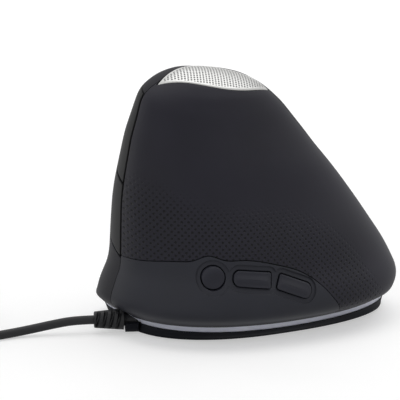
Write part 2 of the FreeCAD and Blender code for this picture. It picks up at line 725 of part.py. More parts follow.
def main_button(name, sides, knuckle, switch):
    """One main button: its stretch of wall, the arm and knuckle of its hinge, and its stem."""
    skin_piece = skin.common(button_half).common(put(raised(button_outline(*sides, 0), 0, FAR_OUT), FINGER))
    skin_piece = skin_piece.cut(put(wheel_slot, FINGER))
    half = KNUCKLE_LENGTH / 2
    barrel = Part.makeCylinder(KNUCKLE_RADIUS, KNUCKLE_LENGTH, Vector(HINGE_Y, knuckle - half, HINGE_DEPTH),
                               Vector(0, 1, 0))
    bore = Part.makeCylinder(HINGE_ROD_RADIUS + HINGE_CLEARANCE, KNUCKLE_LENGTH + 2,
                             Vector(HINGE_Y, knuckle - half - 1, HINGE_DEPTH), Vector(0, 1, 0))
    arm_half = KNUCKLE_ARM / 2
    arm = box(HINGE_Y - arm_half, HINGE_Y + arm_half, knuckle - half, knuckle + half, HINGE_DEPTH, FAR_OUT)
    travel = (SWITCH_Y - HINGE_Y) * math.sin(math.radians(CLICK_ANGLE))
    tip = finger_face + SWITCH_HEIGHT + PLUNGER_HEIGHT + travel + STEM_SPARE
    stem = rod(SWITCH_Y, switch, STEM_RADIUS, tip, FAR_OUT)
    inside = put(barrel.fuse(arm).cut(bore), FINGER).common(mid_wall)
    save(name, skin_piece.fuse([inside, put(stem, FINGER).common(mid_wall)]))


main_button("upper_button", upper_sides, UPPER_KNUCKLE, UPPER_SWITCH)
main_button("lower_button", lower_sides, LOWER_KNUCKLE, LOWER_SWITCH)

# Palm shell: the crown with the plate's seat, the back, the nose and the lower finger side
opening = put(raised(button_outline(*whole_sides, BUTTON_GAP), 0, FAR_OUT), FINGER)
seat_depth = PLATE_THICKNESS + SEAT_GAP
seat_sheet = form(seat_depth).cut(form(seat_depth + SEAT_THICKNESS))
seat = seat_sheet.common(lens(SEAT_FLANGE)).common(palm_half).fuse(seat_sheet.common(lens(0.0)))
palm_shell = skin.common(palm_half).cut([opening, plate_hole]).fuse(seat.cut(opening))
body, pilot = boss(PALM_BOSS, POST_TOP + BOSS_GAP)
save("palm_shell", palm_shell.fuse(body).cut(pilot))

# Scroll wheel: a hub with its axle, and a grooved tyre
WHEEL = axes(FINGER.multVec(Vector(WHEEL_Y, BUTTON_SPLIT, wheel_depth)), FINGER_NORMAL, Vector(0, 1, 0))
hub_radius = WHEEL_RADIUS - TYRE_DEPTH
half = WHEEL_WIDTH / 2
axle_half = half + CRADLE_SIDE_GAP + CRADLE_ARM + AXLE_SPARE
hub = rod(0, 0, hub_radius, -half, half).fuse(rod(0, 0, AXLE_RADIUS, -axle_half, axle_half))
hollow_from = half - HUB_HOLLOW
hollow = rod(0, 0, hub_radius - HUB_RIM, hollow_from, half).cut(rod(0, 0, HUB_BOSS_RADIUS, hollow_from, half))
hollow = hollow.fuse(hollow.mirror(Vector(0, 0, 0), UP))
save("scroll_hub", put(hub.cut(hollow), WHEEL))

tyre = rod(0, 0, WHEEL_RADIUS, -half, half).cut(rod(0, 0, hub_radius, -half, half))
tyre = tyre.makeFillet(TYRE_ROUNDING, [e for e in tyre.Edges if abs(e.BoundBox.XMax - WHEEL_RADIUS) < 0.01
                             and abs(abs(e.BoundBox.ZMax) - half) < 0.01 and e.BoundBox.ZLength < 0.01])
grooves = []
for k in range(TYRE_GROOVES):
    groove = box(WHEEL_RADIUS - GROOVE_DEPTH, WHEEL_RADIUS + 1, -GROOVE_WIDTH / 2, GROOVE_WIDTH / 2,
                 -half - 1, half + 1)
    groove.rotate(Vector(0, 0, 0), UP, 360.0 * k / TYRE_GROOVES)
    grooves.append(groove)
save("scroll_tyre", put(tyre.cut(grooves), WHEEL))

# Cradle: a frame round the wheel that slides on two posts and presses the wheel's switch
arm_inner = half + CRADLE_SIDE_GAP
arm_outer = arm_inner + CRADLE_ARM
bar_inner = WHEEL_RADIUS + CRADLE_END_GAP
bar_outer = bar_inner + CRADLE_BAR
cradle = box(WHEEL_Y - bar_outer, WHEEL_Y + bar_outer, BUTTON_SPLIT - arm_outer, BUTTON_SPLIT + arm_outer,
             wheel_depth - CRADLE_BELOW, wheel_depth + CRADLE_ABOVE)
cradle = cradle.cut(box(WHEEL_Y - bar_inner, WHEEL_Y + bar_inner, BUTTON_SPLIT - arm_inner,
                        BUTTON_SPLIT + arm_inner, 0, FAR_OUT))
for side in (-1, 1):
    near = WHEEL_Y + side * CRADLE_HUB_HALF
    far = WHEEL_Y + side * bar_outer
    over_bar = box(min(near, far), max(near, far), BUTTON_SPLIT - arm_outer, BUTTON_SPLIT + arm_outer,
                   wheel_depth + CRADLE_BAR_TOP, FAR_OUT)
    cradle = cradle.cut(over_bar)
    post_y = WHEEL_Y + side * (bar_inner + CRADLE_BAR / 2)
    cradle = cradle.cut(rod(post_y, BUTTON_SPLIT, POST_RADIUS + POST_CLEARANCE, 0, FAR_OUT))
axle_hole = Part.makeCylinder(AXLE_RADIUS + AXLE_CLEARANCE, 4 * arm_outer,
                              Vector(WHEEL_Y, BUTTON_SPLIT - 2 * arm_outer, wheel_depth), Vector(0, 1, 0))
save("wheel_cradle", put(cradle.cut(axle_hole), FINGER))

# Finger board and what it carries
board_back_face = finger_face - BOARD_THICKNESS
gap_half = BOARD_SLOT_LENGTH / 2
wheel_gap = rounded_box(WHEEL_Y - gap_half, WHEEL_Y + gap_half, BUTTON_SPLIT - slot_half,
                        BUTTON_SPLIT + slot_half, 0, FAR_OUT, SLOT_CORNER)
board_nose = BOARD_FRONT + BOARD_NOSE
board_shoulder = BOARD_FRONT - BOARD_SHOULDER
board_corners = (Vector(BOARD_BACK, BOARD_BOTTOM, 0), Vector(board_nose, BOARD_BOTTOM, 0),
                 Vector(board_nose, BUTTON_SPLIT, 0), Vector(board_shoulder, BOARD_TOP, 0),
                 Vector(BOARD_BACK, BOARD_TOP, 0))
board_outline = rounded(board_corners, [BOARD_CORNER] * 5)
finger_board = raised(board_outline, board_back_face, finger_face).cut(wheel_gap)
post_places = [WHEEL_Y - bar_inner - CRADLE_BAR / 2, WHEEL_Y + bar_inner + CRADLE_BAR / 2]
for y in post_places:
    finger_board = finger_board.cut(rod(y, BUTTON_SPLIT, POST_RADIUS + POST_HOLE_GAP, 0, FAR_OUT))
FINGER_SCREWS = ((BOARD_BACK + 3.5, BOARD_BOTTOM + 8.0), (BOARD_BACK + 5.0, BOARD_TOP - 4.0),
                 (BOARD_FRONT - 3.0, BOARD_BOTTOM + 3.5))
for x, y in FINGER_SCREWS:
    finger_board = finger_board.cut(rod(x, y, SCREW_RADIUS + SCREW_CLEARANCE, 0, FAR_OUT))
save("finger_board", put(finger_board, FINGER))


def micro_switch(v):
    """A mouse switch: a flat case with a small plunger."""
    case = box(SWITCH_Y - SWITCH_LENGTH / 2, SWITCH_Y + SWITCH_LENGTH / 2, v - SWITCH_WIDTH / 2,
               v + SWITCH_WIDTH / 2, finger_face, finger_face + SWITCH_HEIGHT)
    plunger = rod(SWITCH_Y, v, PLUNGER_RADIUS, finger_face, finger_face + SWITCH_HEIGHT + PLUNGER_HEIGHT)
    return put(case.fuse(plunger), FINGER)


save("upper_switch", micro_switch(UPPER_SWITCH))
save("lower_switch", micro_switch(LOWER_SWITCH))

encoder_from = BUTTON_SPLIT + axle_half + ENCODER_GAP
encoder = rounded_box(WHEEL_Y - ENCODER_LENGTH / 2, WHEEL_Y + ENCODER_LENGTH / 2, encoder_from,
                      encoder_from + ENCODER_WIDTH, finger_face, finger_face + ENCODER_HEIGHT,
                      ENCODER_CORNER)
save("wheel_encoder", put(encoder, FINGER))
small = WHEEL_SWITCH_SIZE
wheel_switch_y = post_places[1]
wheel_switch_v = BUTTON_SPLIT + arm_outer - small[1] / 2
wheel_switch = box(wheel_switch_y - small[0] / 2, wheel_switch_y + small[0] / 2, wheel_switch_v - small[1] / 2,
                   wheel_switch_v + small[1] / 2, finger_face, finger_face + small[2])
knob_top = wheel_depth - CRADLE_BELOW - WHEEL_TRAVEL - KNOB_SPARE
knob = rod(wheel_switch_y, wheel_switch_v, KNOB_RADIUS, finger_face, knob_top)
save("wheel_switch", put(wheel_switch.fuse(knob), FINGER))

# Inner frame: the rib behind the finger board, its feet, lugs and guide posts
frame_back = board_back_face - BOARD_SEAT - FRAME_THICKNESS
frame_front = board_back_face - BOARD_SEAT
frame_edge = HINGE_Y - FRAME_BACK_REACH
frame_corners = (Vector(frame_edge, FRAME_BOTTOM, 0), Vector(board_nose, FRAME_BOTTOM, 0),
                 Vector(board_nose, BUTTON_SPLIT, 0), Vector(board_shoulder, BOARD_TOP, 0),
                 Vector(frame_edge, BOARD_TOP, 0))
frame_plate = raised(rounded(frame_corners, [FRAME_CORNER] * 5), frame_back, frame_front).cut(wheel_gap)
lugs = []
for knuckle in (UPPER_KNUCKLE, LOWER_KNUCKLE):
    reach = KNUCKLE_LENGTH / 2 + LUG_GAP
    for side in (-1, 1):
        low = min(side * reach, side * (reach + LUG_THICKNESS))
        lugs.append(box(HINGE_Y - LUG_HALF, HINGE_Y + LUG_HALF, knuckle + low, knuckle + low + LUG_THICKNESS,
                        frame_back, HINGE_DEPTH + LUG_HALF))
    lugs.append(Part.makeCylinder(HINGE_ROD_RADIUS, 2 * (reach + LUG_THICKNESS),
                                  Vector(HINGE_Y, knuckle - reach - LUG_THICKNESS, HINGE_DEPTH),
                                  Vector(0, 1, 0)))
for y in post_places:
    lugs.append(rod(y, BUTTON_SPLIT, POST_RADIUS, frame_back, wheel_depth + CRADLE_BAR_TOP + POST_SPARE))
for x, y in FINGER_SCREWS:
    lugs.append(rod(x, y, SCREW_RADIUS + FRAME_BOSS_WALL, frame_back - FRAME_BOSS_DEPTH, frame_front))
frame_plate = frame_plate.fuse(lugs)
for x, y in FINGER_SCREWS:
    pilot_bottom = frame_back - FRAME_BOSS_DEPTH + 1
    frame_plate = frame_plate.cut(rod(x, y, SCREW_RADIUS + THREAD_CLEARANCE, pilot_bottom, FAR_OUT))
inner_frame = put(frame_plate, FINGER)
feet = []
foot_pilots = []
for x, y in FRAME_FEET:
    place = spread(x, y)
    feet.append(rod(place.x, place.y, BOSS_OUTER, POST_TOP + BOSS_GAP, FRAME_FOOT_TOP))
    foot_pilots.append(rod(place.x, place.y, SCREW_RADIUS + THREAD_CLEARANCE, 0, pilot_top))
save("inner_frame", inner_frame.fuse(feet).cut(foot_pilots))

finger_screws = []
for x, y in FINGER_SCREWS:
    down = screw(x, y, 0, FINGER_SCREW_LENGTH)
    down.rotate(Vector(x, y, 0), Vector(1, 0, 0), 180)
    down.translate(Vector(0, 0, finger_face))
    finger_screws.append(put(down, FINGER))
save("finger_screws", Part.makeCompound(finger_screws))

# Base: a tray with a rabbet for the light ring, a lip inside the shells and posts for the screws
lip_inset = RING_INSET + RING_DEPTH + LIP_GAP
tray = outer.common(slab(FOOT_THICKNESS, RING_BOTTOM))
floor_top = FOOT_THICKNESS + BASE_FLOOR
well = form(lip_inset + LIP_THICKNESS)
tray = tray.cut(well.common(slab(floor_top, HEIGHT)))
lip = form(lip_inset).cut(well).common(slab(floor_top, LIP_TOP))
base = tray.fuse(lip)
SCREW_PLACES = [spread(*at) for at in FRAME_FEET + (PALM_BOSS, THUMB_BOSS)]
post_bottom = FOOT_THICKNESS + POST_SUNK
posts = [rod(p.x, p.y, POST_OUTER, post_bottom, POST_TOP) for p in SCREW_PLACES]
board_posts = [(x, y) for x in (MAIN_BOARD_LEFT + BOARD_SCREW_INSET, MAIN_BOARD_RIGHT - BOARD_SCREW_INSET)
               for y in (MAIN_BOARD_BACK + BOARD_SCREW_INSET, MAIN_BOARD_FRONT - BOARD_SCREW_INSET)]
posts += [rod(x, y, BOARD_POST_RADIUS, post_bottom, MAIN_BOARD_Z) for x, y in board_posts]
base = base.fuse(posts)
head_room = SCREW_HEAD_RADIUS + SCREW_CLEARANCE
for p in SCREW_PLACES:
    base = base.cut(rod(p.x, p.y, head_room, 0, SCREW_HEAD_Z + SCREW_HEAD_HEIGHT))
    base = base.cut(rod(p.x, p.y, SCREW_RADIUS + SCREW_CLEARANCE, 0, POST_TOP + 1))
for x, y in board_posts:
    base = base.cut(rod(x, y, SCREW_RADIUS + THREAD_CLEARANCE, floor_top, MAIN_BOARD_Z + 1))
sensor_window = rounded_box(-SENSOR_HOLE[0] / 2, SENSOR_HOLE[0] / 2, SENSOR_Y - SENSOR_HOLE[1] / 2,
                            SENSOR_Y + SENSOR_HOLE[1] / 2, 0, floor_top + 1, SENSOR_HOLE_CORNER)


spout = along_relief(SPOUT_RADIUS, -1.0, SPOUT_REACH).common(slab(FOOT_THICKNESS, RING_BOTTOM))
neck_hole = along_relief(RELIEF_NECK_RADIUS + NECK_CLEARANCE, -RELIEF_LENGTH, 2 * RELIEF_LENGTH)
flange_end = RELIEF_FLANGE_THICKNESS - RELIEF_TAIL
flange_room = along_relief(RELIEF_FLANGE_RADIUS + NECK_CLEARANCE, -RELIEF_LENGTH, flange_end + NECK_CLEARANCE)
base = base.fuse(spout).cut([sensor_window, neck_hole, flange_room])
save("base_housing", base)
screws = [screw(p.x, p.y, SCREW_HEAD_Z + SCREW_HEAD_HEIGHT, SCREW_LENGTH) for p in SCREW_PLACES]
save("base_screws", Part.makeCompound(screws))

# Light ring between the base and the shells, with an arch over the cable's sleeve
arch = along_relief(RING_ARCH_RADIUS, -RELIEF_LENGTH, 2 * RELIEF_LENGTH).common(slab(RING_BOTTOM, HEIGHT))
ring = form(RING_INSET).cut(form(RING_INSET + RING_DEPTH)).common(slab(RING_BOTTOM, RING_TOP).fuse(arch))
save("light_ring", ring.cut([neck_hole, flange_room]))

# Feet
pads = []
for x, y, across, along in FEET:
    p = spread(x, y)
    radius = 0.45 * min(across, along)
    pads.append(rounded_box(p.x - across / 2, p.x + across / 2, p.y - along / 2, p.y + along / 2, 0,
                            FOOT_THICKNESS, radius))
save("glide_feet", Part.makeCompound(pads))

# Main board
board_top = MAIN_BOARD_Z + BOARD_THICKNESS
main_board = rounded_box(MAIN_BOARD_LEFT, MAIN_BOARD_RIGHT, MAIN_BOARD_BACK, MAIN_BOARD_FRONT,
                         MAIN_BOARD_Z, board_top, MAIN_BOARD_CORNER)
main_board = main_board.cut(rounded_box(-SENSOR_HOLE[0] / 2, SENSOR_HOLE[0] / 2,
                                        SENSOR_Y - SENSOR_HOLE[1] / 2, SENSOR_Y + SENSOR_HOLE[1] / 2,
                                        0, HEIGHT, SENSOR_HOLE_CORNER))
for x, y in board_posts:
    main_board = main_board.cut(rod(x, y, SCREW_RADIUS + SCREW_CLEARANCE, 0, HEIGHT))
save("main_board", main_board)
board_screws = []
for x, y in board_posts:
    down = screw(x, y, 0, BOARD_SCREW_LENGTH)
    down.rotate(Vector(x, y, 0), Vector(1, 0, 0), 180)
    down.translate(Vector(0, 0, board_top))
    board_screws.append(down)
save("board_screws", Part.makeCompound(board_screws))


def chip(size, x, y, z):
    """A block that lies on a board with its middle at a place."""
    return box(x - size[0] / 2, x + size[0] / 2, y - size[1] / 2, y + size[1] / 2, z, z + size[2])


lens_height = MAIN_BOARD_Z - floor_top - LENS_CLEARANCE
lens_block = rounded_box(-LENS_SIZE[0] / 2, LENS_SIZE[0] / 2, SENSOR_Y - LENS_SIZE[1] / 2,
                         SENSOR_Y + LENS_SIZE[1] / 2, floor_top, floor_top + LENS_FLANGE, LENS_CORNER)
lens_block = lens_block.fuse(rod(0, SENSOR_Y, LENS_BARREL_RADIUS, floor_top, floor_top + lens_height))
lens_block = lens_block.fuse(box(-LIGHT_PIPE[0] / 2, LIGHT_PIPE[0] / 2, SENSOR_Y, SENSOR_Y + LIGHT_PIPE[1],
                                 floor_top, floor_top + LIGHT_PIPE[2]))
save("sensor_lens", lens_block)
sensor = chip(CHIP_SIZE, 0, SENSOR_Y, board_top).cut(rod(0, SENSOR_Y, CHIP_HOLE_RADIUS, 0, board_top + 1))
save("sensor_chip", sensor)
save("sensor_lamp", chip(LAMP_SIZE, 0, LAMP_Y, board_top))
save("controller_chip", chip(CONTROLLER_SIZE, CONTROLLER_X, CONTROLLER_Y, board_top))
save("cable_connector", chip(CONNECTOR_SIZE, CONNECTOR_X, CONNECTOR_Y, board_top))
left = MAIN_BOARD_LEFT + RING_LAMP_INSET
right = MAIN_BOARD_RIGHT - RING_LAMP_INSET
lamp_places = ((left, -10.0 * ALONG), (left, 8.0 * ALONG), (right, -10.0 * ALONG), (right, 2.0 * ALONG),
               (-2.0 * ACROSS, MAIN_BOARD_BACK + RING_LAMP_INSET),
               (6.0 * ACROSS, MAIN_BOARD_FRONT - RING_LAMP_INSET))
save("ring_lamps", Part.makeCompound([chip(RING_LAMP_SIZE, x, y, board_top) for x, y in lamp_places]))

# Strain relief: a flange inside the base, a neck through it and ribs on a core that taper outwards


def revolved(profile, frame):
    """A solid of revolution about a local frame's third axis, from (distance, radius) points."""
    points = [Vector(radius, 0, distance) for distance, radius in profile]
    face = Part.Face(Part.makePolygon(points + points[:1]))
    return put(face.revolve(Vector(0, 0, 0), UP, 360), frame)


rib_pitch = RELIEF_LENGTH / RELIEF_RIBS
profile = [(-RELIEF_TAIL, 0), (-RELIEF_TAIL, RELIEF_FLANGE_RADIUS), (flange_end, RELIEF_FLANGE_RADIUS),
           (flange_end, RELIEF_NECK_RADIUS), (RELIEF_START, RELIEF_NECK_RADIUS)]
for k in range(RELIEF_RIBS):
    share = k / (RELIEF_RIBS - 1)
    radius = RELIEF_ROOT_RADIUS + (RELIEF_TIP_RADIUS - RELIEF_ROOT_RADIUS) * share
    start = RELIEF_START + k * rib_pitch
    end = start + RIB_SHARE * rib_pitch
    shoulder = radius - RIB_CHAMFER
    profile += [(start, shoulder), (start + RIB_CHAMFER, radius), (end - RIB_CHAMFER, radius), (end, shoulder)]
    if k < RELIEF_RIBS - 1:
        profile += [(end, RELIEF_CORE_RADIUS), (start + rib_pitch, RELIEF_CORE_RADIUS)]
relief_end = RELIEF_START + RELIEF_LENGTH - (1 - RIB_SHARE) * rib_pitch
profile += [(relief_end, 0)]
save("strain_relief", revolved(profile, RELIEF))


def bent_path(points):
    """Straight runs through the points, joined by arcs as large as the runs allow."""
    edges = []
    radii = []
    here = points[0]
    for before, corner, after in zip(points, points[1:], points[2:]):
        back = Vector(before - corner)
        onward = Vector(after - corner)
        run = min(back.Length, onward.Length)
        back.normalize()
        onward.normalize()
        half_turn = (math.pi - back.getAngle(onward)) / 2
        radius = 0.45 * run / math.tan(half_turn)
        start = corner + back * (0.45 * run)
        end = corner + onward * (0.45 * run)
        towards = Vector(back + onward).normalize()
        middle = corner + towards * (radius / math.cos(half_turn) - radius)
        edges.append(Part.LineSegment(here, start).toShape())
        edges.append(Part.Arc(start, middle, end).toShape())
        radii.append(round(radius, 1))
        here = end
    edges.append(Part.LineSegment(here, points[-1]).toShape())
    return Part.Wire(edges), radii


def tube(name, path):
    """The cable's round section swept along a path."""
    start = path.Edges[0]
    place = start.valueAt(start.FirstParameter)
    ring = Part.makeCircle(CABLE_RADIUS, place, start.tangentAt(start.FirstParameter))
    solid = path.makePipeShell([Part.Wire(ring)], True, False)
    expected = math.pi * CABLE_RADIUS**2 * path.Length
    print(name, "length", round(path.Length, 1), "volume share", round(solid.Volume / expected, 4))
    save(name, solid)


# Coil: an even spiral in and out again, layer on layer
COIL_TOP = CABLE_RADIUS + (COIL_LAYERS - 1) * COIL_PITCH
spiral_turns = COIL_LOOPS_PER_LAYER - 0.5


def coil_point(turns):
    """The middle of the cable after some turns of the coil, and how it grows there."""
    radius = COIL_RADIUS + COIL_PITCH * spiral_turns / 2
    height = CABLE_RADIUS
    left = turns
    for layer in range(COIL_LAYERS):
        inwards = -1 if layer % 2 == 0 else 1
        last = layer == COIL_LAYERS - 1
        run = left if last else min(left, spiral_turns)
        radius += inwards * COIL_PITCH * run
        left -= run
        if left <= 0:
            break
        climb = min(left, 0.5) * 2
        radius += inwards * COIL_PITCH * 0.5 * (climb - climb**2)
        height += COIL_PITCH * (3 * climb**2 - 2 * climb**3)
        left -= climb / 2
        if climb < 1:
            break
    angle = math.radians(COIL_START_ANGLE) - 2 * math.pi * turns
    return Vector(COIL_X + radius * math.cos(angle), COIL_Y + radius * math.sin(angle), height)


def coil_direction(turns):
    """The way the coil runs after some turns."""
    step = 1e-5
    return Vector(coil_point(turns + step) - coil_point(turns - step)).normalize()


def biarc(start, start_way, end, end_way):
    """Two arcs that leave one place and reach another in the given directions."""
    span = end - start
    ways = start_way + end_way
    a = 2 * (1 - start_way.dot(end_way))
    b = 2 * span.dot(ways)
    c = -span.dot(span)
    reach = -c / b if abs(a) < 1e-9 else (-b + math.sqrt(b * b - 4 * a * c)) / (2 * a)
    joint = (start + start_way * reach + end - end_way * reach) * 0.5
    arcs = []
    legs = ((start + start_way * reach, start, joint), (end - end_way * reach, joint, end))
    for corner, tip_a, tip_b in legs:
        out_a = Vector(tip_a - corner)
        out_b = Vector(tip_b - corner)
        half = out_a.getAngle(out_b) / 2
        towards = Vector(out_a.normalize() + out_b.normalize()).normalize()
        side = Vector(tip_a - corner).Length
        radius = side * math.tan(half)
        middle = corner + towards * (side / math.cos(half) - radius)
        arcs.append(Part.Arc(tip_a, middle, tip_b).toShape())
    return arcs


COIL_TURNS = COIL_LAYERS * (spiral_turns + 0.5) + COIL_EXTRA
QUARTERS = round(COIL_TURNS * 4)
marks = [COIL_TURNS * k / QUARTERS for k in range(QUARTERS + 1)]
stub = 2 * CABLE_RADIUS
places = [coil_point(t) for t in marks]
ways = [coil_direction(t) for t in marks]
coil_start = places[0] - ways[0] * stub
coil_end = places[-1] + ways[-1] * stub
coil_edges = [Part.LineSegment(coil_start, places[0]).toShape()]
for k in range(QUARTERS):
    coil_edges += biarc(places[k], ways[k], places[k + 1], ways[k + 1])
coil_edges.append(Part.LineSegment(places[-1], coil_end).toShape())
tube("cable_coil", Part.Wire(coil_edges))

# The least gap between turns, measured from points along the middle of the cable
per_turn = 60
samples = [coil_point(k / per_turn) for k in range(int(COIL_TURNS * per_turn) + 1)]
least = min(a.distanceToPoint(b) for i, a in enumerate(samples) for b in samples[i + per_turn // 3:])
print("least gap between turns", round(least - 2 * CABLE_RADIUS, 2))

# The stretch from the mouse to the coil: it leaves the sleeve level and sinks to the desk
lead_start = RELIEF.multVec(Vector(0, 0, relief_end))
lead_points = [lead_start]
for run, aside, ahead, down in LEAD_POINTS:
    lead_points.append(lead_start + HEADING * run + Vector(aside, ahead, down))
lead_points += [coil_start - ways[0] * LEAD_LAST_RUN, coil_start]
lead_path, lead_radii = bent_path(lead_points)
print("lead radii", lead_radii)
tube("cable_lead", lead_path)

# The short stretch from the top of the coil down to the plug, which lies beside the coil
first_heading = math.degrees(math.atan2(ways[-1].y, ways[-1].x))
plug_z = PLUG_BODY[2] / 2
tail_points = [coil_end]
for k, height in enumerate((COIL_TOP, TAIL_MIDDLE_HEIGHT, plug_z, plug_z)):
    heading = math.radians(first_heading - k * TAIL_TURN)
    following = tail_points[-1] + Vector(math.cos(heading), math.sin(heading), 0) * TAIL_RUN
    following.z = height
    tail_points.append(following)
tail_path, tail_radii = bent_path(tail_points)
print("tail radii", tail_radii)
tube("cable_tail", tail_path)

# Plug: a moulded body with a sleeve for the cable, a metal shell and the tongue with its contacts
plug_way = Vector(math.cos(heading), math.sin(heading), 0)
PLUG = axes(tail_points[-1], UP.cross(plug_way), UP)
width, length, height = PLUG_BODY
body_corners = (Vector(-width / 2, -height / 2, 0), Vector(width / 2, -height / 2, 0),
                Vector(width / 2, height / 2, 0), Vector(-width / 2, height / 2, 0))
sleeve = Part.makeCone(PLUG_SLEEVE[0], PLUG_SLEEVE[1], PLUG_SLEEVE[2] + 1)
plug_body = raised(rounded(body_corners, [PLUG_CORNER] * 4), PLUG_SLEEVE[2], PLUG_SLEEVE[2] + length)
save("plug_body", put(plug_body.fuse(sleeve), PLUG))
plug_face = PLUG_SLEEVE[2] + length
shell_width, shell_length, shell_height = PLUG_SHELL
can = rounded_box(-shell_width / 2, shell_width / 2, -shell_height / 2, shell_height / 2,
                  plug_face, plug_face + shell_length, PLUG_SHELL_CORNER)
bore_width = shell_width - 2 * PLUG_SHELL_WALL
bore_height = shell_height - 2 * PLUG_SHELL_WALL
can = can.cut(rounded_box(-bore_width / 2, bore_width / 2, -bore_height / 2, bore_height / 2,
                          plug_face, plug_face + shell_length, PLUG_SHELL_CORNER / 2))
window_width, window_length, window_from = PLUG_WINDOW
for x in (-PLUG_WINDOW_X, PLUG_WINDOW_X):
    for y in (-shell_height / 2, shell_height / 2):
        window = box(x - window_width / 2, x + window_width / 2, y - PLUG_SHELL_CORNER,
                     y + PLUG_SHELL_CORNER, plug_face + window_from, plug_face + window_from + window_length)
        can = can.cut(window)
save("plug_shell", put(can, PLUG))
tongue_width, tongue_length, tongue_height = PLUG_TONGUE
tongue_top = bore_height / 2 - TONGUE_GAP
tongue = box(-tongue_width / 2, tongue_width / 2, tongue_top - tongue_height, tongue_top,
             plug_face, plug_face + tongue_length)
save("plug_tongue", put(tongue, PLUG))


def ribbon(points, frame):
    """A flat cable that follows a path in a local plane, with its ends square to the path."""
    path, radii = bent_path([Vector(x, 0, z) for x, z in points])
    print("ribbon radii", radii)
    start = path.Edges[0].valueAt(path.Edges[0].FirstParameter)
    way = path.Edges[0].tangentAt(path.Edges[0].FirstParameter)
    side = Vector(0, 1, 0)
    across = way.cross(side) * (RIBBON_THICKNESS / 2)
    half = side * (RIBBON_WIDTH / 2)
    corners = [start + half + across, start - half + across, start - half - across, start + half - across]
    section = Part.makePolygon(corners + corners[:1])
    return put(path.makePipeShell([section], True, False), frame)


# Sockets for the two flat cables: one by each end
size = SOCKET_SIZE
finger_socket_low = box(FINGER_RIBBON_X - size[0] / 2, FINGER_RIBBON_X + size[0] / 2,
                        FINGER_RIBBON_Y - size[1] / 2, FINGER_RIBBON_Y + size[1] / 2,
                        board_top, board_top + size[2])
socket_edge = BOARD_BOTTOM + SOCKET_INSET
finger_socket_high = put(box(FINGER_RIBBON_Y - size[1] / 2, FINGER_RIBBON_Y + size[1] / 2,
                             socket_edge, socket_edge + size[0],
                             finger_face, finger_face + size[2]), FINGER)
thumb_socket_high = put(box(THUMB_RIBBON_AT - size[1] / 2, THUMB_RIBBON_AT + size[1] / 2,
                            THUMB_RIBBON_Z - size[0] / 2, THUMB_RIBBON_Z + size[0] / 2,
                            THUMB_BOARD_DEPTH - size[2], THUMB_BOARD_DEPTH), THUMB)
thumb_socket_low = put(box(THUMB_RIBBON_AT - size[1] / 2, THUMB_RIBBON_AT + size[1] / 2,
                           board_top, board_top + size[2],
                           THUMB_RIBBON_DEPTH - size[0] / 2, THUMB_RIBBON_DEPTH + size[0] / 2), THUMB)
save("ribbon_sockets", Part.makeCompound([finger_socket_low, finger_socket_high,
                                          thumb_socket_low, thumb_socket_high]))
high = FINGER.multVec(Vector(0, socket_edge + size[0] / 2, finger_face + size[2]))
before_high = high + FINGER_NORMAL * RIBBON_LEAD
path = [(FINGER_RIBBON_X, board_top + size[2])] + [(x * ACROSS, z * UPWARD) for x, z in FINGER_RIBBON]
path += [(before_high.x, before_high.z), (high.x, high.z)]
save("finger_ribbon", ribbon(path, axes(Vector(0, FINGER_RIBBON_Y, 0), Vector(1, 0, 0), Vector(0, 1, 0))))
path = [(THUMB_BOARD_DEPTH - size[2], THUMB_RIBBON_Z), (THUMB_RIBBON_DEPTH, THUMB_RIBBON_Z),
        (THUMB_RIBBON_DEPTH, board_top + size[2])]
middle = THUMB.multVec(Vector(THUMB_RIBBON_AT, 0, 0))
thumb_plane = axes(middle, THUMB_NORMAL, UP.cross(THUMB_NORMAL))
save("thumb_ribbon", ribbon(path, thumb_plane))
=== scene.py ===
import math

import bpy
import numpy as np
from mathutils import Matrix, Vector


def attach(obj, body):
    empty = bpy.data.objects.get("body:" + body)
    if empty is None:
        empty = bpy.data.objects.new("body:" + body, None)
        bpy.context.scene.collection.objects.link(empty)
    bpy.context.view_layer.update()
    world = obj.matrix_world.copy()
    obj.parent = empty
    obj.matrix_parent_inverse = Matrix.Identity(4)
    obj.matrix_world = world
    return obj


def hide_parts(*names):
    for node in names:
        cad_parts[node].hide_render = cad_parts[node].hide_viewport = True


# An upright mouse for the right hand, seen from the thumb side, a little from the front.
# Everything is in metres in the row frame: +Z up, +Y the front, +X the finger side. The mouse's own
# sizes are named in millimetres.
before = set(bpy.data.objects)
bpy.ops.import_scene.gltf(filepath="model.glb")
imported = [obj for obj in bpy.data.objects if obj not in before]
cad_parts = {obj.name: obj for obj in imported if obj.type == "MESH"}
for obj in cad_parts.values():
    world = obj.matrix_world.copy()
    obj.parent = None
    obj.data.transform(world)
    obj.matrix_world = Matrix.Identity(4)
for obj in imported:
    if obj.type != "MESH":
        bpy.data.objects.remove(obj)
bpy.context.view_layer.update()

# Camera
# It stands to the left and a little in front, just above the height of the crown. Its long lens
# takes in the whole mouse and the first part of the cord.
CAMERA_AT = (-0.425134, 0.249202, 0.131824)
right = (-0.47431, -0.88036, 0.0)
upward = (0.15985, -0.08612, 0.98338)
backward = (-0.86572, 0.46642, 0.18158)
camera_data = bpy.data.cameras.new("camera")
camera_data.lens = 130.285
camera_data.sensor_width = 36.0
camera_data.clip_start = 0.05
camera_data.clip_end = 20.0
camera = bpy.data.objects.new("camera", camera_data)
bpy.context.scene.collection.objects.link(camera)
bpy.context.scene.camera = camera
camera.matrix_world = Matrix.Translation(CAMERA_AT) @ Matrix((right, upward, backward)).transposed().to_4x4()

